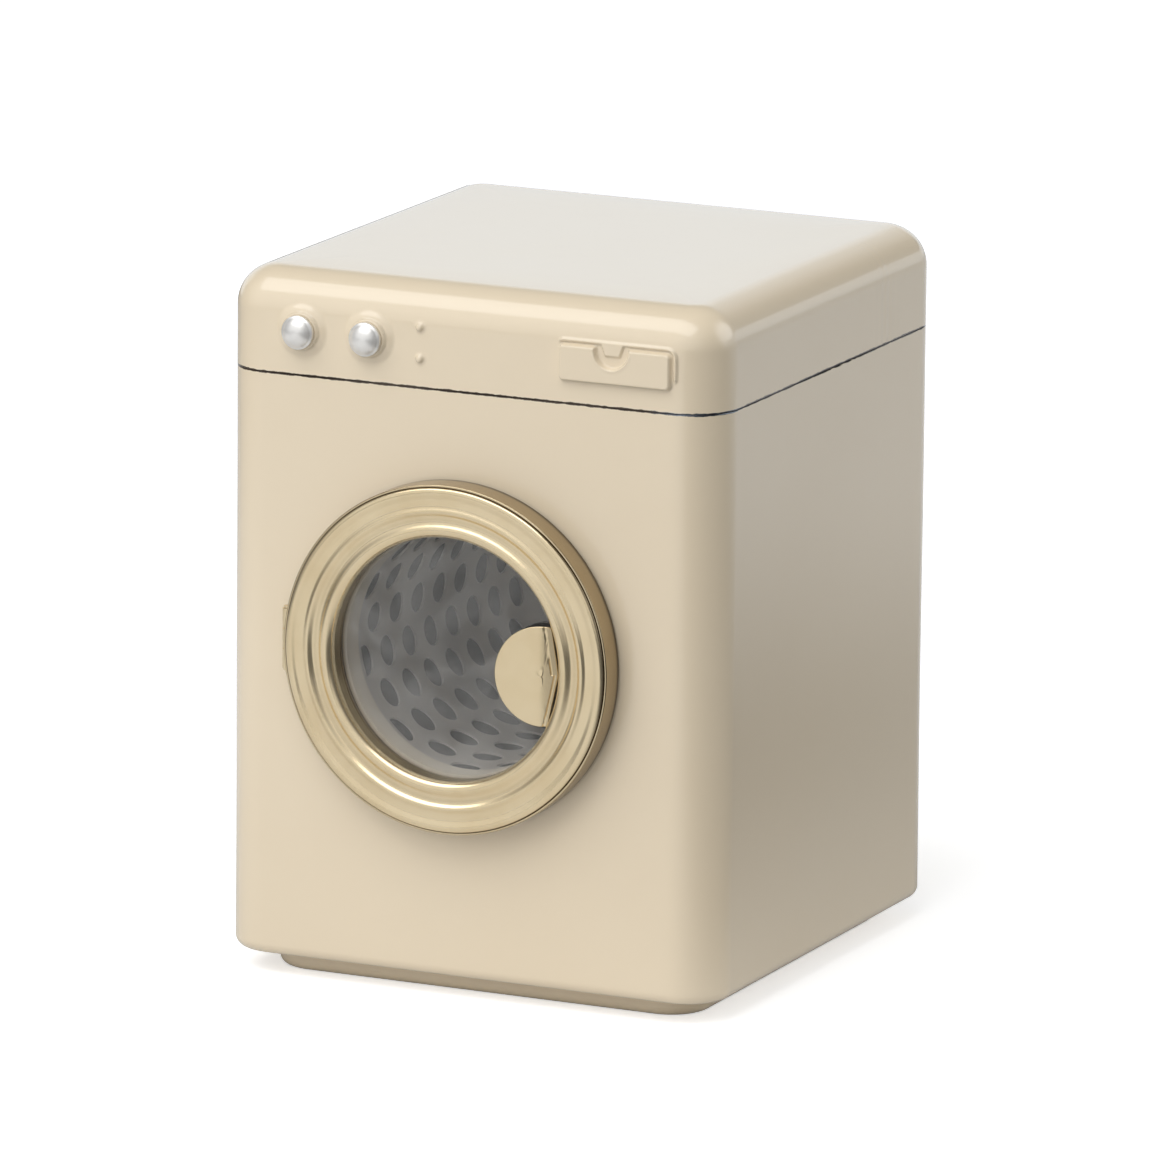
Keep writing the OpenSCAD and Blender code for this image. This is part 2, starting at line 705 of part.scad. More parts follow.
// Pull tab of bent sheet: a face, a soft bend and a leg down to the pane
module door_handle() {
    face = door_proud - tab_sunk;
    tab_left = tab_x - tab_r - over;
    bend_x = tab_x - tab_bend_left;
    tab_right = tab_x + tab_reach + over;
    slope = tab_bend_drop / (tab_reach + tab_bend_left);
    right_drop = slope * (tab_right - bend_x);
    leg_top = face - tab_bend_drop - trim_t / 2;
    color(gold) on_door() union() {
        intersection() {
            linear_extrude(face + over) tab_outline();
            translate([0, tab_r, 0]) rotate([90, 0, 0]) linear_extrude(3 * tab_r) polygon([
                [tab_left, face - trim_t], [bend_x, face - trim_t],
                [tab_right, face - trim_t - right_drop], [tab_right, face - right_drop],
                [bend_x, face], [tab_left, face]]);
        }
        translate([0, 0, flange_out]) linear_extrude(leg_top - flange_out) tab_edge_strip(tab_leg_t);
        translate([0, 0, flange_out]) linear_extrude(trim_t) tab_edge_strip(tab_foot_w);
    }
}

// Strip of the tab's outline along its right-hand edge
module tab_edge_strip(w) {
    difference() {
        tab_outline();
        translate([-w, 0]) tab_outline();
        translate([tab_x - tab_r - w - over, -2 * tab_r]) square([tab_r + w + over, 4 * tab_r]);
    }
}

// Black disc that holds the door shut, behind the handle
module door_magnet() {
    color(black) on_door() translate([magnet_x, magnet_z, door_gap])
        cylinder(r = magnet_r, h = pane_out - door_gap);
}

// Hinge leaf of the door: the middle knuckle and a T-shaped leaf on the back ring
module door_hinge_leaf() {
    leaf_end = hinge_x + door_leaf_reach;
    t_start = hinge_x + hinge_notch_d;
    color(gold) on_door() difference() {
        union() {
            knuckle(-middle_knuckle_h / 2, middle_knuckle_h / 2);
            translate([hinge_x, -middle_knuckle_h / 2, pane_out])
                cube([leaf_end - hinge_x, middle_knuckle_h, leaf_t]);
            translate([t_start, -door_leaf_h / 2, pane_out])
                cube([leaf_end - t_start, door_leaf_h, leaf_t]);
        }
        knuckle_bore();
        door_leaf_rivet_places() rivet_hole(rivet_r, pane_out, pane_out + leaf_t);
    }
}

// Two places on the door's leaf
module door_leaf_rivet_places() {
    for (side = [-1, 1]) translate([door_rivet_x, side * door_rivet_z, 0]) children();
}

module door_leaf_rivets() {
    color(gold) on_door() door_leaf_rivet_places() rivet(rivet_r, back_ring_out, pane_out + leaf_t);
}

// Plain closed can of the drum
module drum_can() {
    color(tin) on_door() rotate_extrude() polygon([
        [can_inner_r, drum_front - drum_t], [can_outer_r, drum_front - drum_t], [can_outer_r, drum_end],
        [axle_r + snug, drum_end], [axle_r + snug, drum_end + drum_t], [can_inner_r, drum_end + drum_t]]);
}

// Perforated sheet rolled inside the can; every second row of holes is half a pitch further back
module drum_liner() {
    liner_end = drum_end + 2 * drum_t;
    first_hole = drum_front - first_hole_back;
    holes_l = first_hole - liner_end - hole_r - hole_margin;
    color(dull_steel) on_door() difference() {
        ring(liner_outer_r, drum_r, liner_end, drum_front - drum_t);
        for (row = [0:hole_rows - 1]) {
            stagger = row % 2 == 0 ? 0 : hole_pitch / 2;
            for (along = [stagger:hole_pitch:holes_l])
                rotate([0, 0, first_row_angle + row * 360 / hole_rows])
                    translate([drum_r - over, 0, first_hole - along])
                    rotate([0, 90, 0]) cylinder(r = hole_r, h = drum_t + 2 * over, $fn = 48);
        }
    }
}

// Rolled rim that holds the mouths of the can and the liner together
module drum_rim_ring() {
    skirt_end = drum_front - rim_skirt;
    spacer_end = drum_front - drum_t - spacer_l;
    spacer_in = liner_outer_r + snug;
    spacer_out = can_inner_r - snug;
    skirt_in = can_outer_r + snug;
    skirt_out = skirt_in + drum_t;
    face_back = drum_front - drum_t;
    color(tin) on_door() rotate_extrude() polygon([
        [drum_r, drum_front], [skirt_out, drum_front], [skirt_out, skirt_end], [skirt_in, skirt_end],
        [skirt_in, face_back], [spacer_out, face_back], [spacer_out, spacer_end], [spacer_in, spacer_end],
        [spacer_in, face_back], [drum_r, face_back]]);
}

// Disc in the bottom of the can, with a rim that centres the liner
module drum_back_plate() {
    plate_back = drum_end + drum_t;
    plate_front = plate_back + drum_t;
    rim_in = liner_outer_r + snug;
    rim_out = can_inner_r - snug;
    color(tin) on_door() rotate_extrude() polygon([
        [axle_r + snug, plate_back], [rim_out, plate_back], [rim_out, plate_front + spacer_l],
        [rim_in, plate_front + spacer_l], [rim_in, plate_front], [axle_r + snug, plate_front]]);
}

// Stiffening washer between the can's back and the bush
module drum_hub() {
    color(tin) on_door() ring(hub_r, axle_r + snug, hub_end, drum_end);
}

// Headed axle through the drum's back, turning in the bush
module drum_axle() {
    head_back = drum_end + 2 * drum_t;
    color(silver) on_door() union() {
        translate([0, 0, axle_end]) cylinder(r = axle_r, h = head_back - axle_end);
        translate([0, 0, head_back]) dome(axle_head_r, axle_head_h);
    }
}

// Push-on washer that keeps the axle in its bush
module axle_clip() {
    color(tin) on_door()
        ring(axle_r + axle_clip_w, axle_r + snug, bush_end - side_play - clip_t, bush_end - side_play);
}

// Slip lid with the control panel embossed in its front
module lid_shell() {
    color(cream) difference() {
        union() {
            difference() {
                translate([0, 0, lid_bottom])
                    rolled_block(body_w, body_d, total_h - lid_bottom, corner_r, lid_edge_r);
                translate([0, 0, lid_bottom - over])
                    rolled_block(body_w - 2 * sheet, body_d - 2 * sheet,
                                 total_h - lid_bottom + over - sheet, corner_r - sheet, lid_edge_r - sheet);
            }
            for (x = [left_knob_x, right_knob_x]) on_front(x, knob_z) knob_seat();
            for (side = [-1, 1]) on_front(dots_x, knob_z + side * dot_spacing / 2) dot();
            drawer_front();
        }
        for (x = [left_knob_x, right_knob_x]) on_front(x, knob_z)
            translate([0, 0, -sheet - over])
                cylinder(r = knob_shank_r + run_fit, h = sheet + knob_neck_h + 2 * over);
    }
}

// Shallow boss and raised neck that a knob stands on
module knob_seat() {
    rotate_extrude() polygon([
        [0, -sheet / 2], [knob_boss_r, -sheet / 2], [knob_boss_r, 0],
        [knob_boss_r - knob_boss_slope, knob_boss_h], [knob_neck_r + knob_neck_slope, knob_boss_h],
        [knob_neck_r, knob_neck_h], [0, knob_neck_h]]);
}

// Small round boss
module dot() {
    translate([0, 0, -sheet / 2]) cylinder(r = dot_r, h = sheet / 2);
    dome(dot_r, dot_h);
}

// Raised drawer front with its thumb recess, the ridge round it and the tongue over the recess
module drawer_front() {
    thumb_y = drawer_h - thumb_down;
    ridge_in_y = drawer_h + ridge_gap;
    ridge_in_x = drawer_w + ridge_gap;
    ridge_start = 1;
    tongue_top = ridge_in_y + lap;
    tongue_end = thumb_y - lap;
    on_front(drawer_x, drawer_z) {
        difference() {
            translate([drawer_w / 2, drawer_h / 2, -sheet / 2]) linear_extrude(sheet / 2 + drawer_proud)
                rounded_rect(drawer_w, drawer_h, drawer_corner_r);
            translate([thumb_from_left, thumb_y, 0]) cylinder(r = thumb_r, h = drawer_proud + over);
        }
        translate([0, 0, -sheet / 2]) linear_extrude(sheet / 2 + ridge_h) difference() {
            translate([(ridge_in_x + ridge_w) / 2, (ridge_in_y + ridge_w) / 2])
                rounded_rect(ridge_in_x + ridge_w, ridge_in_y + ridge_w, drawer_corner_r);
            translate([-over, -over]) square([ridge_in_x + over, ridge_in_y + over]);
            translate([0, -over]) square([ridge_in_x + ridge_w + over, ridge_start + over]);
        }
        translate([thumb_from_left, 0, -sheet / 2]) linear_extrude(sheet / 2 + ridge_h) polygon([
            [-tongue_top_w / 2, tongue_top], [-tongue_end_w / 2, tongue_end],
            [tongue_end_w / 2, tongue_end], [tongue_top_w / 2, tongue_top]]);
    }
}

// Domed knob on a shank that passes through the panel
module knob() {
    rim_back = knob_neck_h + side_play;
    shank_end = -sheet - side_play - clip_t - stub_l;
    color(silver) union() {
        translate([0, 0, shank_end]) cylinder(r = knob_shank_r, h = rim_back - shank_end);
        translate([0, 0, rim_back]) cylinder(r = knob_r, h = knob_rim_h);
        translate([0, 0, rim_back + knob_rim_h]) dome(knob_r, knob_dome_h);
    }
}

// Push-on washer that keeps a knob in the panel
module knob_clip() {
    clip_front = -sheet - side_play;
    color(tin) ring(knob_shank_r + knob_clip_w, knob_shank_r + snug, clip_front - clip_t, clip_front);
}

module left_knob() {
    on_front(left_knob_x, knob_z) knob();
}

module right_knob() {
    on_front(right_knob_x, knob_z) knob();
}

module left_knob_clip() {
    on_front(left_knob_x, knob_z) knob_clip();
}

module right_knob_clip() {
    on_front(right_knob_x, knob_z) knob_clip();
}

cabinet_shell();
base_pan();
neck_band();
porthole_collar();
bearing_bracket();
axle_bush();
bearing_rivets();
cabinet_hinge_leaf();
cabinet_leaf_rivets();
hinge_pin();
door_side_band();
door_face_ring();
window_pane();
door_back_ring();
door_handle();
door_magnet();
door_hinge_leaf();
door_leaf_rivets();
drum_can();
drum_liner();
drum_rim_ring();
drum_back_plate();
drum_hub();
drum_axle();
axle_clip();
lid_shell();
left_knob();
right_knob();
left_knob_clip();
right_knob_clip();
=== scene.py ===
import bpy
import numpy as np
from mathutils import Matrix, Vector


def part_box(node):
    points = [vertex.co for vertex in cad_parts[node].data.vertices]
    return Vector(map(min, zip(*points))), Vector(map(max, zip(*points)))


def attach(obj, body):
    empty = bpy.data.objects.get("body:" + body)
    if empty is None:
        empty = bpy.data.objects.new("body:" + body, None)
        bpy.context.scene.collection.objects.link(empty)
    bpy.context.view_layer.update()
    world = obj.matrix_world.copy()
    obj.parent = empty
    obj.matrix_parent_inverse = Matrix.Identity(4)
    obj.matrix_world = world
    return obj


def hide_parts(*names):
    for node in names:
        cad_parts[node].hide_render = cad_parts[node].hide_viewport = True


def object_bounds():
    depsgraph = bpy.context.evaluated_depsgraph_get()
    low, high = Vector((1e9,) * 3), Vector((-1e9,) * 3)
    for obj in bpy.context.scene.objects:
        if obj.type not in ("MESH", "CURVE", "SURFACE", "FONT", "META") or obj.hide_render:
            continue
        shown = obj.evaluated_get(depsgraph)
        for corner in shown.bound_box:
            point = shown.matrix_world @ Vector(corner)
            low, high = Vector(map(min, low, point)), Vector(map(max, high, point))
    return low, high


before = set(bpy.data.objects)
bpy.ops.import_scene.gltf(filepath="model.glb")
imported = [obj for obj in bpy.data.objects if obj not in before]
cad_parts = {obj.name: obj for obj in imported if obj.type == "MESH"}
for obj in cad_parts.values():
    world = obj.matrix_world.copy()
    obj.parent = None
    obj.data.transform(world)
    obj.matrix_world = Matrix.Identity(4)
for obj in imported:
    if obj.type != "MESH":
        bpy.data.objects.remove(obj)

# Toy washing machine of pressed tinplate, dressed piece by piece in the order it is put together.
# Lengths are in metres; the front faces -Y, +X is its right-hand side and the table is z = 0.

cad_box = [list(corner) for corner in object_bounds()]

# Cabinet
# A sheet of tinplate rolled round four soft corners, with a porthole punched in its front and its
# foot turned in as a flange. Stove-enamelled in cream; the cut upper edge is rubbed bare in places.
shell_low, shell_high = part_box("cabinet_shell")
lid_low, lid_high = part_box("lid_shell")
body_w = shell_high.x - shell_low.x
body_d = shell_high.y - shell_low.y
front_y = shell_low.y
sheet = 0.0005
corner_r = 0.0084
foot_r = 0.0019
flange_inset = 0.006
flange_corner_r = 0.0077
porthole_r = 0.02175
porthole_frame = 0.026
seam_z = (shell_high.z + lid_low.z) / 2
ring_low, ring_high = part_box("door_face_ring")
door_x = (ring_low.x + ring_high.x) / 2
door_z = (ring_low.z + ring_high.z) / 2


def smooth(t):
    """Soft step: 0 below 0, 1 above 1 and t * t * (3 - 2 * t) between."""
    t = np.clip(t, 0, 1)
    return t * t * (3 - 2 * t)


def spaced(*stops):
    """Places from the first stop on, each later stop being (place, greatest step up to it)."""
    places = [np.array([stops[0]])]
    for place, step in stops[1:]:
        last = places[-1][-1]
        count = int(np.ceil(abs(place - last) / step - 1e-6))
        places.append(np.linspace(last, place, max(count, 1) + 1)[1:])
    return np.concatenate(places)


def rim(front, side, turn):
    """Rounded rectangle, counter-clockwise from above, as (place of the corner's centre, direction).

    Along the straight sides the centre moves in shares of its reach, -1 to 1, as front and side
    say, and the direction is square to the side. At a corner the centre stays at (1, 1) or its
    mirror image and the direction has the angles of the turn, which lie between -90 and 0 degrees.
    """
    centres = []
    directions = []
    for quarter in range(4):
        angle = quarter * np.pi / 2
        along = front if quarter % 2 == 0 else side
        straight = np.stack([along, -np.ones_like(along)], 1)
        bend = np.stack([np.ones_like(turn), -np.ones_like(turn)], 1)
        away = np.stack([np.cos(turn), np.sin(turn)], 1)
        square = np.stack([np.zeros_like(along), -np.ones_like(along)], 1)
        spin = np.array([[np.cos(angle), np.sin(angle)], [-np.sin(angle), np.cos(angle)]])
        centres.append(np.concatenate([straight, bend]) @ spin)
        directions.append(np.concatenate([square, away]) @ spin)
    return np.concatenate(centres), np.concatenate(directions)


def pressed_block(centres, directions, inset, radius, z):
    """Rows of a block with rounded upright corners: each row is the rim at one inset and height.

    P(u, v) = centre(u) * (half size - inset(v) - radius(v)) + radius(v) * direction(u), at z(v).
    """
    half = np.array([body_w, body_d]) / 2
    reach = half[None, :] - inset[:, None] - radius[:, None]
    flat = centres[None] * reach[:, None, :] + directions[None] * radius[:, None, None]
    height = np.broadcast_to(z[:, None, None], flat.shape[:2] + (1,))
    return np.concatenate([flat, height], 2)


def quads_round(rows, columns, first=0, closed=False):
    """Faces of a grid that closes round its columns, and over its rows too where closed is set.

    Point (v, u) has the number first + v * columns + u; a face is (v, u), (v, u + 1),
    (v + 1, u + 1), (v + 1, u), so it faces out where u runs counter-clockwise and v upwards.
    """
    v = np.arange(rows if closed else rows - 1)[:, None]
    u = np.arange(columns)[None, :]
    after = (u + 1) % columns
    here = first + v * columns
    above = first + (v + 1) % rows * columns
    corners = np.broadcast_arrays(here + u, here + after, above + after, above + u)
    return np.stack(corners, -1).reshape(-1, 4)


def quads_between(first_ring, second_ring):
    """Faces between two closed rings of as many points, given as lists of point numbers."""
    after = np.roll(first_ring, -1)
    second_after = np.roll(second_ring, -1)
    return np.stack([first_ring, after, second_after, second_ring], 1)


def pole_faces(ring, pole):
    """Triangles from a closed ring of point numbers to one point, which they all share."""
    return np.stack([ring, np.roll(ring, -1), np.full(len(ring), pole)], 1)


def make_piece(name, points, faces, material, body, slot, *nodes):
    """Puts points and faces into a smooth mesh that rides on a body and stands for CAD nodes."""
    mesh = bpy.data.meshes.new(name)
    mesh.from_pydata(points.reshape(-1, 3).tolist(), [], [f for part in faces for f in part.tolist()])
    mesh.polygons.foreach_set("use_smooth", np.ones(len(mesh.polygons), bool))
    mesh.materials.append(material)
    mesh.update()
    piece = bpy.data.objects.new(name, mesh)
    bpy.context.scene.collection.objects.link(piece)
    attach(piece, body)
    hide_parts(*nodes)
    return piece


def finish_nodes(material, *names):
    """Gives CAD nodes that keep their own mesh a material."""
    for name in names:
        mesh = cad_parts[name].data
        mesh.materials.clear()
        mesh.materials.append(material)


def screen_colour(red, green, blue):
    """A colour as the screen shows it, 0 to 255, made linear by ((c + 0.055) / 1.055) ** 2.4."""
    channels = (np.array([red, green, blue]) / 255 + 0.055) / 1.055
    return (*(channels ** 2.4).tolist(), 1.0)


def add(tree, kind, inputs=(), **settings):
    """Adds a shader node with its settings; an input is a value or a (node, output) to link."""
    made = tree.nodes.new("ShaderNode" + kind)
    for setting, value in settings.items():
        setattr(made, setting, value)
    for socket, value in dict(inputs).items():
        if isinstance(value, tuple) and isinstance(value[0], bpy.types.Node):
            tree.links.new(value[0].outputs[value[1]], made.inputs[socket])
        else:
            made.inputs[socket].default_value = value
    return made


def place_group(tree, group, values):
    """Places a shader node group in a material, with the material's own values."""
    return add(tree, "Group", values, node_tree=group)


def ramp(tree, value, low, high, start=0.0, end=1.0, soft=False):
    """Adds a value that goes from start, at low, to end, at high: evenly or as a soft step."""
    return add(tree, "MapRange",
               {"Value": value, "From Min": low, "From Max": high, "To Min": start, "To Max": end},
               interpolation_type="SMOOTHSTEP" if soft else "LINEAR")


def maths(tree, operation, *values):
    """Adds a sum on numbers; its result is the output Value."""
    return add(tree, "Math", dict(enumerate(values)), operation=operation)


def vectors(tree, operation, *values):
    """Adds a sum on vectors; its result is the output Vector or Value."""
    return add(tree, "VectorMath", dict(enumerate(values)), operation=operation)


def blended(tree, share, first, second):
    """Adds a mix of two colours, first + share * (second - first); its result is output 2."""
    return add(tree, "Mix", {0: share, 6: first, 7: second}, data_type="RGBA")


def finish_surface(tree, out, values):
    """Adds a material's Principled shader with its values and joins it to the output."""
    shader = add(tree, "BsdfPrincipled", values)
    tree.links.new(shader.outputs["BSDF"], out.inputs["Surface"])


def new_group(name, inputs, outputs):
    """Makes an empty shader node group; inputs and outputs are lists of (name, kind, value)."""
    group = bpy.data.node_groups.new(name, "ShaderNodeTree")
    for socket_name, kind, value in inputs:
        socket = group.interface.new_socket(socket_name, in_out="INPUT", socket_type=kind)
        socket.default_value = value
    for socket_name, kind, value in outputs:
        group.interface.new_socket(socket_name, in_out="OUTPUT", socket_type=kind)
    return group, group.nodes.new("NodeGroupInput"), group.nodes.new("NodeGroupOutput")


def new_material(name):
    """Makes an empty material and returns it with its node tree and its output node."""
    material = bpy.data.materials.new(name)
    material.use_nodes = True
    material.node_tree.nodes.clear()
    return material, material.node_tree, add(material.node_tree, "OutputMaterial")


# Kinds of socket that the groups have
NUMBER = "NodeSocketFloat"
COLOUR = "NodeSocketColor"
VECTOR = "NodeSocketVector"

# Unevenness of a finish: soft patches of a second colour, and rougher and glossier places
mottle, g_in, g_out = new_group(
    "Mottle",
    [("Colour", COLOUR, (1, 1, 1, 1)), ("Patch colour", COLOUR, (1, 1, 1, 1)),
     ("Size", NUMBER, 100.0), ("Amount", NUMBER, 0.5)],
    [("Colour", COLOUR, None), ("Patches", NUMBER, None)])
place = add(mottle, "TexCoord")
patches = add(mottle, "TexNoise", {"Vector": (place, "Object"), "Scale": (g_in, "Size"),
                                   "Detail": 4.0, "Roughness": 0.6})
spread = ramp(mottle, (patches, "Fac"), 0.35, 0.7, soft=True)
share = maths(mottle, "MULTIPLY", (spread, "Result"), (g_in, "Amount"))
blend = blended(mottle, (share, "Value"), (g_in, "Colour"), (g_in, "Patch colour"))
mottle.links.new(blend.outputs[2], g_out.inputs["Colour"])
mottle.links.new(spread.outputs["Result"], g_out.inputs["Patches"])


def two_tone(tree, colour, patch_colour, size, amount=0.5):
    """Places the Mottle group with a colour and a patch colour as the screen shows them."""
    return place_group(tree, mottle, {"Colour": screen_colour(*colour),
                                      "Patch colour": screen_colour(*patch_colour),
                                      "Size": size, "Amount": amount})


def patchy_gloss(tree, patchy, on_colour, on_patches):
    """A roughness with one value on the colour and another on its patches."""
    return ramp(tree, (patchy, "Patches"), 0.0, 1.0, on_colour, on_patches)


# Fine unevenness of a surface, as a normal: lumps of one size with a finer grain on them
grain_share = 6.0
skin, g_in, g_out = new_group(
    "Skin", [("Size", NUMBER, 500.0), ("Depth", NUMBER, 0.00002), ("Grain", NUMBER, 0.2)],
    [("Normal", VECTOR, None)])
place = add(skin, "TexCoord")
lumps = add(skin, "TexNoise", {"Vector": (place, "Object"), "Scale": (g_in, "Size"),
                               "Detail": 1.0, "Roughness": 0.4})
fine_size = maths(skin, "MULTIPLY", (g_in, "Size"), grain_share)
grain = add(skin, "TexNoise", {"Vector": (place, "Object"), "Scale": (fine_size, "Value"),
                               "Detail": 2.0})
fine = maths(skin, "MULTIPLY_ADD", (grain, "Fac"), (g_in, "Grain"), (lumps, "Fac"))
bump = add(skin, "Bump", {"Height": (fine, "Value"), "Distance": (g_in, "Depth")})
skin.links.new(bump.outputs["Normal"], g_out.inputs["Normal"])

# Nicks along a level edge: broken patches within a reach of one height, cut off over edge_soft
nick_depth = 1.6
edge_soft = 0.08
nicks, g_in, g_out = new_group(
    "Nicks", [("Height", NUMBER, 0.0), ("Reach", NUMBER, 0.0005), ("Size", NUMBER, 900.0),
              ("Amount", NUMBER, 0.5)], [("Mask", NUMBER, None)])
place = add(nicks, "TexCoord")
parts = add(nicks, "SeparateXYZ", {"Vector": (place, "Object")})
above = maths(nicks, "SUBTRACT", (parts, "Z"), (g_in, "Height"))
away = maths(nicks, "ABSOLUTE", (above, "Value"))
near = maths(nicks, "DIVIDE", (away, "Value"), (g_in, "Reach"))
chips = add(nicks, "TexNoise", {"Vector": (place, "Object"), "Scale": (g_in, "Size"),
                                "Detail": 3.0, "Roughness": 0.7})
broken = maths(nicks, "MULTIPLY", (chips, "Fac"), (g_in, "Amount"))
deep = maths(nicks, "MULTIPLY", (broken, "Value"), nick_depth)
edge = maths(nicks, "SUBTRACT", (deep, "Value"), (near, "Value"))
mask = ramp(nicks, (edge, "Value"), 0.0, edge_soft)
nicks.links.new(mask.outputs["Result"], g_out.inputs["Mask"])

# Cream enamel: nicked along the seam in dark brown, which is worn chips and also painted shade for the
# seam's gap, and rubbed to bright metal round its front right corner
rubbed_reach = 0.007
rubbed_end = 0.013
cream_enamel, tree, out = new_material("cream_enamel")
patchy = two_tone(tree, (233, 217, 190), (229, 211, 182), 14.0, 0.35)
bare = place_group(tree, nicks, {"Height": seam_z, "Reach": 0.0004, "Size": 420.0, "Amount": 0.8})
place = add(tree, "TexCoord")
to_corner = vectors(tree, "DISTANCE", (place, "Object"), (body_w / 2, front_y, seam_z))
rubbed = ramp(tree, (to_corner, "Value"), rubbed_reach, rubbed_end, 1.0, 0.0)
bare_metal = screen_colour(128, 136, 146)
# The chips' dark brown along the seam is also painted shade for the narrow gap between cabinet and lid
chip_and_seam_shade_colour = blended(tree, (rubbed, "Result"), screen_colour(70, 56, 40), bare_metal)
worn_and_seam_shaded = blended(tree, (bare, "Mask"), (patchy, "Colour"), (chip_and_seam_shade_colour, 2))
shiny = maths(tree, "MULTIPLY", (bare, "Mask"), (rubbed, "Result"))
gloss = patchy_gloss(tree, patchy, 0.23, 0.27)
peel = place_group(tree, skin, {"Size": 180.0, "Depth": 0.00001, "Grain": 0.02})
finish_surface(tree, out, {
    "Base Color": (worn_and_seam_shaded, 2), "Roughness": (gloss, "Result"), "Metallic": (shiny, "Value"),
    "Normal": (peel, "Normal"), "Specular IOR Level": 0.35, "Coat Weight": 1.0,
    "Coat Roughness": 0.05, "Coat IOR": 1.45})

# The grid is coarse on the flats and finer in the window; a close row keeps each bend crisp
flat_step = 0.002
side_step = 0.0022
bend_row = 0.0003
edge_row = 0.00006
window_step = 2 * porthole_frame / 24
half_x = body_w / 2 - corner_r
half_y = body_d / 2 - corner_r
front_x = spaced(-half_x, (-half_x + bend_row, bend_row), (door_x - porthole_frame, flat_step),
                 (door_x + porthole_frame, window_step),
                 (half_x - bend_row, flat_step), (half_x, bend_row)) / half_x
side_y = spaced(-half_y, (-half_y + bend_row, bend_row), (half_y - bend_row, side_step),
                (half_y, bend_row)) / half_y
corner_turn = np.radians(np.linspace(-90, 0, 21))[1:-1]
centres, directions = rim(front_x, side_y, corner_turn)
foot_turn = np.linspace(0, np.pi / 2, 9)[:-1]
wall_z = spaced(shell_low.z + foot_r, (shell_low.z + foot_r + bend_row, bend_row),
                (door_z - porthole_frame, flat_step), (door_z + porthole_frame, window_step),
                (shell_high.z - 0.001, flat_step), (shell_high.z - edge_row, 0.0005),
                (shell_high.z, edge_row))
inner_wall_z = wall_z[wall_z > shell_low.z + foot_r]
inset = np.concatenate([[flange_inset], foot_r * (1 - np.sin(foot_turn)), 0 * wall_z,
                        0 * inner_wall_z + sheet, [foot_r, flange_inset]])
z = np.concatenate([[shell_low.z], shell_low.z + foot_r * (1 - np.cos(foot_turn)), wall_z,
                    inner_wall_z[::-1], [shell_low.z + sheet, shell_low.z + sheet]])
radius = corner_r - inset
radius[[0, -1]] = flange_corner_r
points = pressed_block(centres, directions, inset, radius, z)

# The wall isn't quite flat or level: shallow hollows, and a cut edge that wanders over its last
# 3 mm and is bent down in the middle of the right side
hollow_depth = 0.00002
hollow_fade = 0.006
edge_band = 0.003
edge_lift = 0.00005
edge_wander = 0.00003
dent_depth = 0.00014
dent_reach_x = 0.004
dent_reach_y = 0.014


def hollows(first, second):
    """Depth d (2 + sin(a x + b z + c) + sin(e y + f z + g)); first is (a, b, c), second (e, f, g)."""
    across = np.sin(px * first[0] + pz * first[1] + first[2])
    along = np.sin(py * second[0] + pz * second[1] + second[2])
    return hollow_depth * (2 + across + along)


px, py, pz = points[..., 0], points[..., 1], points[..., 2]
hollow = hollows((95, 61, 1.0), (83, -97, 2.0)) * smooth((pz - shell_low.z - foot_r) / hollow_fade)
points[..., :2] -= hollow[..., None] * directions[None]
near_edge = smooth((pz - shell_high.z + edge_band) / edge_band)
dent = np.exp(-((px - body_w / 2) / dent_reach_x) ** 2 - (py / dent_reach_y) ** 2)
points[..., 2] += near_edge * (edge_lift + edge_wander * np.sin(px * 210 + py * 160) - dent_depth * dent)

# The porthole: a square window of the grid is dropped from both walls and bridged to two circles
rows, columns = points.shape[:2]
faces = quads_round(rows, columns, closed=True)
hair = 1e-6
window_columns = np.nonzero(np.abs(front_x * half_x - door_x) < porthole_frame + hair)[0]
inner_start = 1 + len(foot_turn) + len(wall_z)
in_z = np.abs(z - door_z) < porthole_frame + hair
outer_rows = np.nonzero(in_z[:inner_start])[0]
inner_rows = inner_start + np.nonzero(in_z[inner_start:])[0][::-1]


def window_ring(window_rows):
    """Numbers of the grid points round the window, counter-clockwise as seen from the front."""
    low = window_rows[0] * columns + window_columns[:-1]
    right = window_rows[:-1] * columns + window_columns[-1]
    high = window_rows[-1] * columns + window_columns[:0:-1]
    left = window_rows[:0:-1] * columns + window_columns[0]
    return np.concatenate([low, right, high, left])


def in_window(window_rows):
    """Marks the faces whose four corners all lie in the window."""
    face_rows = faces // columns
    face_columns = faces % columns
    inside = (face_rows >= window_rows.min()) & (face_rows <= window_rows.max())
    inside &= (face_columns >= window_columns.min()) & (face_columns <= window_columns.max())
    return inside.all(1)


faces = faces[~(in_window(outer_rows) | in_window(inner_rows))]
flat_points = points.reshape(-1, 3)
rings = [window_ring(outer_rows), window_ring(inner_rows)]
from_centre = flat_points[rings[0]][:, [0, 2]] - [door_x, door_z]
to_circle = from_centre * (porthole_r / np.linalg.norm(from_centre, axis=1, keepdims=True) - 1)
bridge_steps = ((0.5, 0), (0.9, 0), (1.0, 0), (1.0, 1), (0.9, 1), (0.5, 1))
bridge = []
for share, wall in bridge_steps:
    ring_x, ring_z = (from_centre + to_circle * share).T
    bridge.append(np.stack([door_x + ring_x, flat_points[rings[wall]][:, 1], door_z + ring_z], 1))
numbers = len(flat_points) + np.arange(len(bridge) * len(from_centre)).reshape(len(bridge), -1)
rings = [rings[0], *numbers, rings[1]]
parts = [faces] + [quads_between(first, second) for first, second in zip(rings[:-1], rings[1:])]
make_piece("cabinet_walls", np.concatenate([flat_points, *bridge]), parts, cream_enamel,
           "cabinet", "cream_enamel", "cabinet_shell")

# Base pan
# A pressed tray fixed inside the cabinet's foot; its sunk floor is the plinth that shows below.
# The same cream enamel as the cabinet.
finish_nodes(cream_enamel, "base_pan")
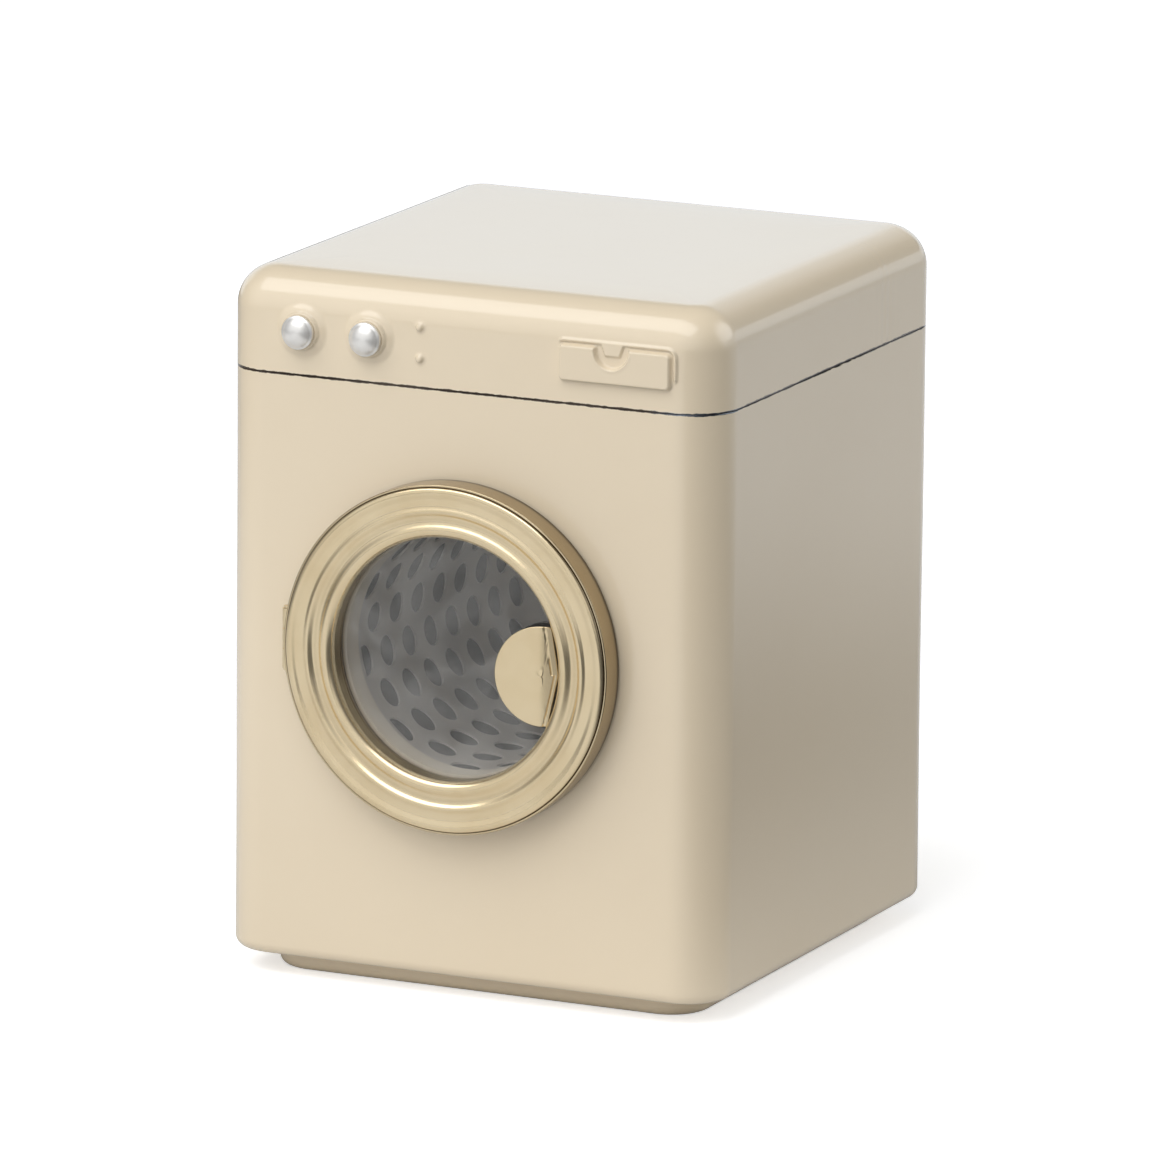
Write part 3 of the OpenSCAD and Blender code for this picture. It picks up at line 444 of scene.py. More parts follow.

# Neck band
# A joggled strip of plain tinplate inside the cabinet's mouth, which the lid slips over. Only a
# dark line of it shows in the seam, where it is painted dark and dull as painted shade.
bare_tin, tree, out = new_material("bare_tin")
patchy = two_tone(tree, (176, 176, 172), (138, 136, 130), 180.0, 0.8)
gloss = patchy_gloss(tree, patchy, 0.3, 0.5)
rolled = place_group(tree, skin, {"Size": 700.0, "Depth": 0.00002, "Grain": 0.4})
# Near the seam's height the tin is painted dark brown and dull in broken patches: painted shade for the
# seam's narrow gap
seam_shade = place_group(tree, nicks, {"Height": seam_z, "Reach": 0.001, "Size": 300.0, "Amount": 1.4})
seam_shaded = blended(tree, (seam_shade, "Mask"), (patchy, "Colour"), screen_colour(46, 36, 26))
clean = ramp(tree, (seam_shade, "Mask"), 0.0, 1.0, 1.0, 0.1)
finish_surface(tree, out, {
    "Base Color": (seam_shaded, 2), "Metallic": (clean, "Result"), "Roughness": (gloss, "Result"),
    "Normal": (rolled, "Normal")})
finish_nodes(bare_tin, "neck_band")

# Porthole collar
# A drawn collar of enamelled sheet, pressed into the porthole from behind. It is the tunnel
# between the pane and the drum's mouth, painted a lighter cream than the cabinet as painted light for the
# tunnel, which lies in shade.
lit_collar_enamel, tree, out = new_material("lit_collar_enamel")
# Lighter than the cabinet's cream: painted light for the shaded tunnel
patchy = two_tone(tree, (242, 232, 214), (234, 222, 202), 60.0)
peel = place_group(tree, skin, {"Size": 300.0, "Depth": 0.00002})
gloss = patchy_gloss(tree, patchy, 0.3, 0.4)
finish_surface(tree, out, {
    "Base Color": (patchy, "Colour"), "Normal": (peel, "Normal"), "Roughness": (gloss, "Result")})
finish_nodes(lit_collar_enamel, "porthole_collar")

# Drum bearing
# A hat-shaped strip of tinplate riveted inside the back wall, with a flanged brass bush in its
# front that the drum's axle turns in.
finish_nodes(bare_tin, "bearing_bracket", "bearing_rivets")
bush_brass, tree, out = new_material("bush_brass")
patchy = two_tone(tree, (196, 158, 92), (150, 112, 60), 240.0, 0.7)
gloss = patchy_gloss(tree, patchy, 0.25, 0.45)
spun = place_group(tree, skin, {"Size": 900.0, "Depth": 0.00001})
finish_surface(tree, out, {
    "Base Color": (patchy, "Colour"), "Metallic": 1.0, "Roughness": (gloss, "Result"),
    "Normal": (spun, "Normal")})
finish_nodes(bush_brass, "axle_bush")

# Drum
# A rolled, perforated liner inside a plain closed can, held together by a rolled rim at the mouth.
# Grey sheet steel, dulled; the can is painted darker than the liner, as painted shade for its wall where
# it shows through the holes.
liner_low, liner_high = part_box("drum_liner")
liner_outer_r = (liner_high.x - liner_low.x) / 2
can_from_r = liner_outer_r + 0.0001
can_full_r = liner_outer_r + 0.0004
drum_steel, tree, out = new_material("drum_steel")
patchy = two_tone(tree, (228, 221, 212), (210, 208, 206), 60.0, 0.6)
place = add(tree, "TexCoord")
from_axis = vectors(tree, "SUBTRACT", (place, "Object"), (door_x, 0, door_z))
flat = vectors(tree, "MULTIPLY", (from_axis, "Vector"), (1, 0, 1))
radius_there = vectors(tree, "LENGTH", (flat, "Vector"))
# Beyond the liner's outer radius the colour is painted dark grey: painted shade on the can behind the
# holes
behind = ramp(tree, (radius_there, "Value"), can_from_r, can_full_r)
can_painted_shade = blended(tree, (behind, "Result"), (patchy, "Colour"), screen_colour(92, 87, 82))
gloss = patchy_gloss(tree, patchy, 0.38, 0.55)
dull = place_group(tree, skin, {"Size": 400.0, "Depth": 0.00002, "Grain": 0.3})
finish_surface(tree, out, {
    "Base Color": (can_painted_shade, 2), "Metallic": 0.4, "Roughness": (gloss, "Result"),
    "Normal": (dull, "Normal")})
finish_nodes(drum_steel, "drum_liner", "drum_can", "drum_rim_ring", "drum_back_plate", "drum_hub")
finish_nodes(bare_tin, "drum_axle", "axle_clip")

# Door
# A stepped and beaded face ring of sheet with a pale gold lacquer, seamed to a side band that is
# rolled into a hoop. A flat ring behind clamps the pane.
band_low, band_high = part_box("door_side_band")
door_r = (band_high.x - band_low.x) / 2
face_seam_r = door_r - 0.00045
groove_r = 0.0246

# A thin ring line about the door's centre, painted dark as painted shade in the seam and the groove of
# the ring and at its outer edge. The three lines are (radius, half width, how dark)
shade_lines = ((face_seam_r, 0.00028, 0.85), (groove_r, 0.0006, 0.12), (door_r, 0.0003, 0.5))
hem_shade_from = front_y - 0.0017
hem_shade_full = front_y - 0.0006
shade_line_group, g_in, g_out = new_group(
    "Ring line", [("Centre", VECTOR, (0, 0, 0)), ("Radius", NUMBER, 0.025), ("Width", NUMBER, 0.0003)],
    [("Mask", NUMBER, None)])
place = add(shade_line_group, "TexCoord")
from_axis = vectors(shade_line_group, "SUBTRACT", (place, "Object"), (g_in, "Centre"))
flat = vectors(shade_line_group, "MULTIPLY", (from_axis, "Vector"), (1, 0, 1))
reach = vectors(shade_line_group, "LENGTH", (flat, "Vector"))
aside = maths(shade_line_group, "SUBTRACT", (reach, "Value"), (g_in, "Radius"))
away = maths(shade_line_group, "ABSOLUTE", (aside, "Value"))
mask = ramp(shade_line_group, (away, "Value"), 0.0, (g_in, "Width"), 1.0, 0.0, soft=True)
shade_line_group.links.new(mask.outputs["Result"], g_out.inputs["Mask"])

gold_lacquer, tree, out = new_material("gold_lacquer")
patchy = two_tone(tree, (236, 217, 180), (226, 204, 163), 90.0, 0.6)
colour = (patchy, "Colour")
# Each line paints shade into the lacquer's colour along one radius
for line_r, width, share in shade_lines:
    groove = place_group(tree, shade_line_group,
                         {"Centre": (door_x, 0, door_z), "Radius": line_r, "Width": width})
    shade_amount = maths(tree, "MULTIPLY", (groove, "Mask"), share)
    groove_shaded = blended(tree, (shade_amount, "Value"), colour, screen_colour(78, 60, 36))
    colour = (groove_shaded, 2)
# Near the panel the door's hem is painted dark brown: painted shade where the door stands against the
# panel
place = add(tree, "TexCoord")
parts = add(tree, "SeparateXYZ", {"Vector": (place, "Object")})
hem_shade = ramp(tree, (parts, "Y"), hem_shade_from, hem_shade_full, 0.0, 0.85, soft=True)
hem_shaded = blended(tree, (hem_shade, "Result"), colour, screen_colour(52, 40, 26))
gloss = patchy_gloss(tree, patchy, 0.19, 0.25)
satin = place_group(tree, skin, {"Size": 1500.0, "Depth": 0.000004, "Grain": 0.4})
finish_surface(tree, out, {
    "Base Color": (hem_shaded, 2), "Metallic": 0.95, "Roughness": (gloss, "Result"),
    "Normal": (satin, "Normal"), "Coat Weight": 0.3, "Coat Roughness": 0.12})
finish_nodes(gold_lacquer, "door_back_ring")


def turned(line, centre_x, centre_z, angles):
    """A line of (radius, distance in front of the panel) turned about an axis square to the panel.

    P(u, v) = (centre_x + r(v) cos a(u), front - h(v), centre_z + r(v) sin a(u)). The faces point
    outwards where the line runs up the outside, in across the front and down the inside.
    """
    r = line[:, 0][:, None]
    out = np.broadcast_to(line[:, 1][:, None], (len(line), len(angles)))
    x = centre_x + r * np.cos(angles)[None]
    z = centre_z + r * np.sin(angles)[None]
    return np.stack([x, front_y - out, z], -1)


def waves(knots, steps):
    """A line through knots of (radius, height) that is level at each: half a cosine between two."""
    share = np.linspace(0, 1, steps, endpoint=False)[None, :, None]
    rise = np.concatenate([share, (1 - np.cos(np.pi * share)) / 2], 2)
    spans = knots[:-1, None, :] + (knots[1:] - knots[:-1])[:, None, :] * rise
    return np.concatenate([spans.reshape(-1, 2), knots[-1:]])


def quarter(centre, radii, start, end, steps):
    """Points on a quarter of an oval about a centre, from one angle to another, without the first."""
    angle = np.linspace(start, end, steps + 1)[1:]
    return np.stack([centre[0] + radii[0] * np.cos(angle), centre[1] + radii[1] * np.sin(angle)], 1)


pane_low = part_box("window_pane")[0]
band_back = front_y - band_high.y
band_front = front_y - band_low.y
pane_front = front_y - pane_low.y
face_front = front_y - ring_low.y
ring_w = 0.0093
window_r = door_r - ring_w
hinge_notch_front = 0.0032
hinge_notch_half_h = 0.0057
band_sheet = 0.0005
band_edge_r = 0.00022
hem_w = 0.0018
hem_edge_r = 0.0002
close_row = 0.0003
tight_row = 0.0001
trim_sheet = 0.0004
whole_turn = np.linspace(0, 2 * np.pi, 192, endpoint=False)

# Side band: a strip rolled into a hoop, hemmed at its back, notched for the hinge
notch_angle = np.arcsin(hinge_notch_half_h / door_r)
notch_rows = np.array([-1.003, -1, 1, 1.003])
angles = np.sort(np.concatenate([whole_turn, np.pi + notch_angle * notch_rows]))
hem_centre = (door_r - hem_edge_r, band_back + hem_edge_r)
edge_centre = (door_r - band_edge_r, band_front - band_edge_r)
line = np.concatenate([
    [[door_r - hem_w, band_back], [door_r - close_row, band_back]],
    quarter(hem_centre, (hem_edge_r, hem_edge_r), -np.pi / 2, 0, 4),
    [[door_r, band_back + 0.0005], [door_r, band_front - 0.0008],
     [door_r, band_front - band_edge_r - tight_row]],
    quarter(edge_centre, (band_edge_r, band_edge_r), 0, np.pi / 2, 5),
    [[door_r - band_sheet, band_front], [door_r - band_sheet, band_front - close_row],
     [door_r - band_sheet, band_back + band_sheet], [door_r - hem_w, band_back + band_sheet]]])
points = turned(line, door_x, door_z, angles)
in_notch = np.abs(angles - np.pi) < notch_angle + hair
height = front_y - points[..., 1]
share = (band_front - hinge_notch_front) / (band_front - band_back)
cut = hinge_notch_front + (height - band_back) * share
points[..., 1] = front_y - np.where(in_notch[None], cut, height)
make_piece("door_hoop", points, [quads_round(*points.shape[:2], closed=True)], gold_lacquer,
           "door", "gold_lacquer", "door_side_band")

# Face: an oval outer roll, a sunk flat band, a bead, a flat groove and the roll to the pane
face_r = door_r - 0.0005
outer_roll_w = 0.0009
outer_roll_h = 0.00055
inner_roll_w = 0.0015
inner_roll_h = 0.0017
inner_crest = window_r + inner_roll_w
flat_outer_r = 0.0280
flat_inner_r = 0.0269
flat_depth = 0.0003
bead_crest_r = 0.02605
groove_outer_r = 0.0249
groove_inner_r = 0.0242
groove_depth = 0.00056
knots = np.array([[face_r - outer_roll_w, face_front], [flat_outer_r, face_front - flat_depth],
                  [flat_inner_r, face_front - flat_depth], [bead_crest_r, face_front],
                  [groove_outer_r, face_front - groove_depth],
                  [groove_inner_r, face_front - groove_depth],
                  [inner_crest, face_front]])
roll_base = face_front - outer_roll_h
flange_r = window_r + 0.0031
lining_r = window_r + 0.0005
lining_depth = 0.0011
face_back = hinge_notch_front + 0.0003
line = np.concatenate([
    [[face_r, face_back], [face_r, roll_base - tight_row], [face_r, roll_base]],
    quarter((face_r - outer_roll_w, roll_base), (outer_roll_w, outer_roll_h), 0, np.pi / 2, 12)[:-1],
    waves(knots, 10),
    quarter((inner_crest, face_front - inner_roll_h), (inner_roll_w, inner_roll_h), np.pi / 2, np.pi, 16),
    [[window_r, face_front - inner_roll_h - 0.0002], [window_r, pane_front + tight_row],
     [window_r, pane_front], [flange_r, pane_front], [flange_r, pane_front + trim_sheet],
     [lining_r, pane_front + trim_sheet], [lining_r, face_front - 0.0016],
     [inner_crest, face_front - lining_depth], [face_r - outer_roll_w, face_front - lining_depth],
     [face_r - trim_sheet, roll_base - 0.0006], [face_r - trim_sheet, face_back]]])
points = turned(line, door_x, door_z, whole_turn)
make_piece("door_face", points, [quads_round(*points.shape[:2], closed=True)], gold_lacquer,
           "door", "gold_lacquer", "door_face_ring")

# Handle
# A half-round pull tab of the same sheet, bent back along a soft upright line, with its two
# right-hand edges folded over and down to the pane as a leg.
tab_low, tab_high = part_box("door_handle")
tab_r = (tab_high.z - tab_low.z) / 2
tab_x = tab_low.x + tab_r
tab_z = (tab_low.z + tab_high.z) / 2
tab_face = front_y - tab_low.y
tab_apex = np.array([0.00275, 0.0003])
tab_top = np.array([0.0015, tab_r])
tab_bottom = np.array([0.00095, -tab_r])
bend_x = -0.0006
bend_soft = 0.001
bend_slope = 0.38
leg_w = 0.0005
leg_foot = pane_front
upper_fold_w = 0.0011
lower_fold_w = 0.0006
fold_line_w = 0.0001
fold_line_h = 0.00013
fold_reach = 0.0023
tab_edge_r = 0.00015
tab_sunk = 0.00008
pole_sunk = 0.00012
corner_power = 30
# How its grid is laid: rows in from the edge, and fine columns over the two folded edges
edge_row_in = 0.0002
fold_rows = 31
fine_turn = 1.6
fine_columns = 97
apart = 0.0001
cut_from = 0.985
cut_soft = 0.03
leg_sunk = 0.0006


def edge_line(start, end):
    """Unit normal, pointing right, and distance from the tab's centre of a line through two points."""
    along = end - start
    normal = np.array([along[1], -along[0]]) / np.hypot(*along)
    normal = normal * np.sign(normal[0])
    return normal, normal @ start


tab_angles = np.sort(np.concatenate([np.linspace(-np.pi, np.pi, 144, endpoint=False),
                                     np.linspace(-fine_turn, fine_turn, fine_columns)[1:-1] + apart]))
toward = np.stack([np.cos(tab_angles), np.sin(tab_angles)], 1)
upper_normal, upper_away = edge_line(tab_apex, tab_top)
lower_normal, lower_away = edge_line(tab_apex, tab_bottom)
upper_share = np.maximum(toward @ upper_normal, 0) / upper_away
lower_share = np.maximum(toward @ lower_normal, 0) / lower_away
powers = (1 / tab_r) ** corner_power + upper_share ** corner_power + lower_share ** corner_power
reach = powers ** (-1 / corner_power)
on_right = smooth((tab_r * cut_from - reach) / (tab_r * cut_soft))
edge_turn = np.linspace(np.pi / 2, 0, 6)
level = 0 * reach
front_rows = [share * (reach - fold_reach) for share in (0.05, 0.3, 0.6, 0.85)]
front_rows += [reach - away for away in np.linspace(fold_reach, edge_row_in, fold_rows)]
front_drop = [level] * len(front_rows) + [level + tab_edge_r * (1 - np.sin(a)) for a in edge_turn]
front_rows += [reach - tab_edge_r + tab_edge_r * np.cos(a) for a in edge_turn]
leg_drop = trim_sheet + on_right * (tab_face - leg_sunk - leg_foot - trim_sheet)
leg_inner = reach - leg_w * on_right
back_rows = [reach, leg_inner, leg_inner - 0.00002, reach * 0.5, reach * 0.02]
back_drop = [leg_drop, leg_drop] + [trim_sheet + level] * 3
radial = np.stack(front_rows + back_rows)
drop = np.stack(front_drop + back_drop)
tx = radial * toward[:, 0]
tz = radial * toward[:, 1]
past = tx - bend_x
bend = bend_slope * (np.sqrt(past ** 2 + bend_soft ** 2) + past) / 2
in_upper = upper_away - tx * upper_normal[0] - tz * upper_normal[1]
in_lower = lower_away - tx * lower_normal[0] - tz * lower_normal[1]
from_line = np.where(tz > tab_apex[1], in_upper - upper_fold_w, in_lower - lower_fold_w)
fold = -fold_line_h * np.exp(-(from_line / fold_line_w) ** 2)
fold = np.where(np.arange(len(radial))[:, None] < len(front_rows), fold, 0)
points = np.stack([tab_x + tx, front_y - (tab_face - tab_sunk - bend - drop + fold), tab_z + tz], -1)
rows, columns = points.shape[:2]
pole_out = tab_face - tab_sunk - pole_sunk
poles = np.array([[tab_x, front_y - pole_out, tab_z], [tab_x, front_y - (pole_out - trim_sheet), tab_z]])
faces = [quads_round(rows, columns)[:, ::-1], pole_faces(np.arange(columns), rows * columns),
         pole_faces(np.arange((rows - 1) * columns, rows * columns)[::-1], rows * columns + 1)]
make_piece("pull_tab", np.concatenate([points.reshape(-1, 3), poles]), faces, gold_lacquer,
           "door", "gold_lacquer", "door_handle")

# Pane
# A disc of clear sheet, clamped between the face ring's flange and the flat ring behind it. It is
# a little hazy with smears, and mirrors the room weakly.
clear_ior = 1.49
clear_pane, tree, out = new_material("clear_pane")
place = add(tree, "TexCoord")
smears = add(tree, "TexNoise", {"Vector": (place, "Object"), "Scale": 70.0, "Detail": 5.0,
                                "Distortion": 1.5})
haze = ramp(tree, (smears, "Fac"), 0.4, 0.7, 0.02, 0.09)
mirror = add(tree, "Fresnel", {"IOR": clear_ior})
cover = add(tree, "Math", {0: (mirror, "Fac"), 1: (haze, "Result")}, operation="ADD",
            use_clamp=True)
film = add(tree, "BsdfPrincipled", {"Base Color": screen_colour(232, 231, 228), "Metallic": 0.6,
                                    "Roughness": 0.05, "IOR": clear_ior})
clear = add(tree, "BsdfTransparent")
pane = add(tree, "MixShader", {0: (cover, "Value"), 1: (clear, "BSDF"), 2: (film, "BSDF")})
tree.links.new(pane.outputs["Shader"], out.inputs["Surface"])
finish_nodes(clear_pane, "window_pane")
# Clear sheet throws next to no shadow, so the drum behind it is lit
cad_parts["window_pane"].visible_shadow = False

# Magnet
# A black ferrite disc behind the pull tab, which keeps the door shut. Its edge shows over the tab.
# Sintered, matt and unpainted.
black_magnet, tree, out = new_material("black_magnet")
patchy = two_tone(tree, (30, 29, 28), (46, 44, 42), 400.0)
matt = place_group(tree, skin, {"Size": 1500.0, "Depth": 0.00003})
finish_surface(tree, out, {
    "Base Color": (patchy, "Colour"), "Roughness": 0.55, "Normal": (matt, "Normal")})
finish_nodes(black_magnet, "door_magnet")

# Hinge
# Two leaves of the door's lacquered sheet, rolled into knuckles and held by rivets, turn on a
# headed pin at the left of the porthole.
finish_nodes(gold_lacquer, "cabinet_hinge_leaf", "cabinet_leaf_rivets", "hinge_pin", "door_hinge_leaf",
             "door_leaf_rivets")

# Lid
# One sheet drawn into a shallow box with a rolled top edge. The knob seats, two dots, the drawer
# front with its thumb recess and the ridge round it are pressed out of its front. Cream enamel.
lid_roll_r = 0.00735
crown_h = 0.00014
crown_w = 0.010
lid_wander = 0.00004
left_knob_low, left_knob_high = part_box("left_knob")
right_knob_low, right_knob_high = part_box("right_knob")
left_knob_x = (left_knob_low.x + left_knob_high.x) / 2
right_knob_x = (right_knob_low.x + right_knob_high.x) / 2
knob_z = (left_knob_low.z + left_knob_high.z) / 2
boss_r = 0.0050
boss_slope = 0.0016
boss_h = 0.0005
neck_r = 0.0032
neck_slope = 0.0003
neck_h = 0.0011
dots_from_left = 0.03805
dots_x = shell_low.x + dots_from_left
dot_spacing = 0.0055
dot_r = 0.00115
dot_h = 0.0007
bead_r = 0.0007
drawer_from_right = 0.0086
drawer_w = 0.0207
drawer_up = 0.0041
drawer_tall = 0.0062
drawer_right = shell_high.x - drawer_from_right
drawer_left = drawer_right - drawer_w
drawer_bottom = seam_z + drawer_up
drawer_top = drawer_bottom + drawer_tall
drawer_corner_r = 0.0008
drawer_h = 0.0010
press_slope = 0.0005
ridge_gap = 0.0004
ridge_w = 0.0008
ridge_h = 0.00045
thumb_x = drawer_left + 0.0098
thumb_z = drawer_top - 0.0004
thumb_r = 0.0029
tongue_bottom = drawer_top - 0.0013
tongue_half_w = 0.0013
tongue_flare = 0.35
mound_share = 0.45
lip_h = 0.00012
lip_away = 0.0004
lip_w = 0.0003
dot_flat_r = 0.0002
ridge_fade = 0.0006
ridge_rise = 0.001
tongue_edge = 0.00025


def raised(distance, slope):
    """1 inside a pressed form's outline, 0 beyond its slope: 1 - smooth(distance / slope)."""
    return 1 - smooth(distance / slope)


def outside_box(x, z, left, right, bottom, top, r):
    """Distance outside an upright rectangle with round corners, less than 0 inside it."""
    qx = np.abs(x - (left + right) / 2) - (right - left) / 2 + r
    qz = np.abs(z - (bottom + top) / 2) - (top - bottom) / 2 + r
    return np.hypot(np.maximum(qx, 0), np.maximum(qz, 0)) + np.minimum(np.maximum(qx, qz), 0) - r


def pressed_forms(x, z):
    """Height of the forms pressed out of the lid's front; where two meet, the higher one holds."""
    height = np.zeros_like(x)
    for knob_x in (left_knob_x, right_knob_x):
        away = np.hypot(x - knob_x, z - knob_z)
        seat = boss_h * raised(away - boss_r + boss_slope, boss_slope)
        seat = seat + (neck_h - boss_h) * raised(away - neck_r, neck_slope)
        height = np.maximum(height, seat)
    for dot_z in (knob_z - dot_spacing / 2, knob_z + dot_spacing / 2):
        away = np.hypot(x - dots_x, z - dot_z)
        mound = dot_h * mound_share * raised(away - dot_flat_r, dot_r)
        bead = dot_h * (1 - mound_share) * np.sqrt(np.clip(1 - (away / bead_r) ** 2, 0, 1))
        height = np.maximum(height, mound + bead)
    outside = outside_box(x, z, drawer_left, drawer_right, drawer_bottom, drawer_top, drawer_corner_r)
    from_thumb = np.hypot(x - thumb_x, z - thumb_z) - thumb_r
    drawer = drawer_h * raised(outside + press_slope / 2, press_slope)
    lip = lip_h * np.exp(-((from_thumb - lip_away) / lip_w) ** 2) * smooth((thumb_z - z) / 0.001)
    drawer = drawer * (1 - raised(from_thumb, press_slope)) + lip * (outside < 0)
    height = np.maximum(height, drawer)
    middle = ridge_gap + ridge_w / 2
    ridge = raised(np.abs(outside - middle) - ridge_w / 8, ridge_w * 3 / 8)
    ridge = ridge * smooth((x - drawer_left + 0.0004) / ridge_fade)
    ridge = ridge * smooth((z - drawer_bottom - ridge_rise) / ridge_rise)
    slant = tongue_half_w + tongue_flare * (z - tongue_bottom)
    aside = np.maximum(np.abs(x - thumb_x) - slant, tongue_bottom - z)
    tongue = raised(aside, tongue_edge) * raised(z - drawer_top - middle, ridge_w * 3 / 8)
    return np.maximum(height, ridge_h * np.maximum(ridge, tongue))


def lid_rows(offset, wall_z, turns, shares):
    """Inset, radius and height of the lid's rows from its lower edge to the middle of its top.

    The wall rises straight, the roll follows inset = R (1 - cos a), z = top - R + R sin a, and on
    the top the rows draw in to the middle. An inner wall lies at the offset all over.
    """
    roll = lid_roll_r - offset
    inset = offset + np.concatenate([np.zeros(len(wall_z)), roll * (1 - np.cos(turns))])
    z = np.concatenate([wall_z, lid_high.z - lid_roll_r + roll * np.sin(turns)])
    radius = corner_r - inset
    inset = np.concatenate([inset, inset[-1] + shares * (body_w / 2 - inset[-1] - middle_gap)])
    radius = np.concatenate([radius, radius[-1] * (1 - shares) + middle_r * shares])
    return inset, radius, np.concatenate([z, np.full(len(shares), z[-1])])


middle_gap = 0.0006
middle_r = 0.0003
half_roll_z = lid_high.z - lid_roll_r
# The grid is fine over the pressed forms, round the corner that the drawer's ridge runs up to, over
# the ripple in the right side and near the top's rim, which is crowned
knob_reach = boss_r + 0.0003
dot_reach = 0.0013
plain_step = 0.0015
knob_step = 0.00024
dot_step = 0.00013
drawer_step = 0.0002
form_row = 0.00019
ripple_step = 0.0004
ripple_y = 0.0235
ripple_from = 0.017
ripple_to = 0.031
forms_from_z = 0.1105
front_x = spaced(-half_x, (-half_x + bend_row, bend_row), (left_knob_x - knob_reach, plain_step),
                 (left_knob_x + knob_reach, knob_step), (right_knob_x - knob_reach, plain_step),
                 (right_knob_x + knob_reach, knob_step), (dots_x - dot_reach, plain_step),
                 (dots_x + dot_reach, dot_step), (drawer_left - ridge_fade, plain_step),
                 (half_x, drawer_step)) / half_x
side_y = spaced(-half_y, (-half_y + bend_row, bend_row), (ripple_from, flat_step),
                (ripple_to, ripple_step),
                (half_y - bend_row, flat_step), (half_y, bend_row)) / half_y
lid_turn = np.radians(spaced(-90, (-74.4, 1.2), (0, 4.6))[1:-1])
centres, directions = rim(front_x, side_y, lid_turn)
outer_z = spaced(lid_low.z, (lid_low.z + edge_row, edge_row), (lid_low.z + 0.0004, 0.0002),
                 (forms_from_z, 0.0008), (half_roll_z, form_row))
outer_turns = spaced(0, (0.29, 0.026), (np.pi / 2, 0.07))[1:]
outer_shares = np.array([0.01, 0.03, 0.06, 0.09, 0.12, 0.16, 0.2, 0.25, 0.4, 0.7, 1.0])
outer = lid_rows(0, outer_z, outer_turns, outer_shares)
inner_z = spaced(lid_low.z, (half_roll_z, 0.003))
inner_turns = spaced(0, (np.pi / 2, 0.15))[1:]
inner = lid_rows(sheet, inner_z, inner_turns, np.array([0.02, 0.5, 1.0]))
inset, radius, z = [np.concatenate([i[::-1], o]) for i, o in zip(inner, outer)]
points = pressed_block(centres, directions, inset, radius, z)
px, py, pz = points[..., 0], points[..., 1], points[..., 2]
is_outer = np.arange(len(z))[:, None] >= len(inner[0])
top_band = 0.0005
is_wall = is_outer & (pz < lid_high.z - top_band)
hollow = hollows((71, 90, 0.4), (77, -60, 1.2))
ripple = hollow_depth * (1 + np.sin(py * 2600)) * np.exp(-((py - ripple_y) / 0.003) ** 2)
ripple = ripple * (directions[None, :, 0] > 0.99)
points[..., :2] -= np.where(is_wall, hollow + ripple, 0)[..., None] * directions[None]
on_front = is_wall & (directions[None, :, 1] < -0.9)
points[..., :2] += np.where(on_front, pressed_forms(px, pz), 0)[..., None] * directions[None]
points[..., 2] += raised(pz - lid_low.z, edge_band) * lid_wander * (np.sin(px * 170 - py * 140) - 2.2)

# The top is crowned a little: it falls off over its outer part towards the roll
edge_away = np.minimum(body_w / 2 - np.abs(px), body_d / 2 - np.abs(py)) - lid_roll_r
crown = crown_h * (1 - np.clip(edge_away / crown_w, 0, 1)) ** 2
points[..., 2] -= crown * smooth((pz - half_roll_z) / lid_roll_r)
rows, columns = points.shape[:2]
poles = np.array([[0, 0, lid_high.z - sheet], [0, 0, lid_high.z]])
top_ring = np.arange((rows - 1) * columns, rows * columns)
low_ring = np.arange(columns)
faces = [quads_round(rows, columns),
         pole_faces(low_ring[::-1], rows * columns), pole_faces(top_ring, rows * columns + 1)]
make_piece("slip_lid", np.concatenate([points.reshape(-1, 3), poles]), faces, cream_enamel,
           "lid", "cream_enamel", "lid_shell")

# Knobs
# Two domed knobs of bright plated metal, each on a shank through its seat in the lid and held by a
# push-on washer inside.
bright_knob, tree, out = new_material("bright_knob")
patchy = two_tone(tree, (244, 242, 238), (230, 228, 226), 300.0)
gloss = patchy_gloss(tree, patchy, 0.3, 0.38)
plated = place_group(tree, skin, {"Size": 900.0, "Depth": 0.00001})
finish_surface(tree, out, {
    "Base Color": (patchy, "Colour"), "Metallic": 0.55, "Roughness": (gloss, "Result"),
    "Normal": (plated, "Normal")})
knob_r = (left_knob_high.x - left_knob_low.x) / 2
shank_r = 0.0015
shank_end = front_y - left_knob_high.y
knob_front = front_y - left_knob_low.y
knob_back = neck_h + 0.0002
rim_r = 0.00018
dome_h = 0.0015
end_bevel = 0.0003
back_bevel = 0.0004
dome_r = ((knob_r - rim_r) ** 2 + dome_h ** 2) / (2 * dome_h)
dome_half = np.arcsin((knob_r - rim_r) / dome_r)
dome_turn = np.linspace(np.pi / 2 - dome_half, np.pi / 2, 16)[1:-1]
line = np.concatenate([
    [[shank_r - end_bevel, shank_end], [shank_r, shank_end + end_bevel], [shank_r, knob_back],
     [knob_r - back_bevel, knob_back]],
    quarter((knob_r - rim_r, knob_back + rim_r), (rim_r, rim_r), -np.pi / 2, 0, 4),
    quarter((knob_r - rim_r, knob_front - dome_h), (rim_r, rim_r), -0.05, np.pi / 2 - dome_half, 4),
    np.stack([dome_r * np.cos(dome_turn), knob_front - dome_r + dome_r * np.sin(dome_turn)], 1)])
knobs = (("knob_left", "left_knob", left_knob_x), ("knob_right", "right_knob", right_knob_x))
for name, node, knob_x in knobs:
    points = turned(line, knob_x, knob_z, np.linspace(0, 2 * np.pi, 72, endpoint=False))
    rows, columns = points.shape[:2]
    poles = np.array([[knob_x, front_y - shank_end, knob_z], [knob_x, front_y - knob_front, knob_z]])
    faces = [quads_round(rows, columns), pole_faces(np.arange(columns)[::-1], rows * columns),
             pole_faces(np.arange((rows - 1) * columns, rows * columns), rows * columns + 1)]
    make_piece(name, np.concatenate([points.reshape(-1, 3), poles]), faces, bright_knob,
               node, "bright_knob", node)
finish_nodes(bare_tin, "left_knob_clip", "right_knob_clip")
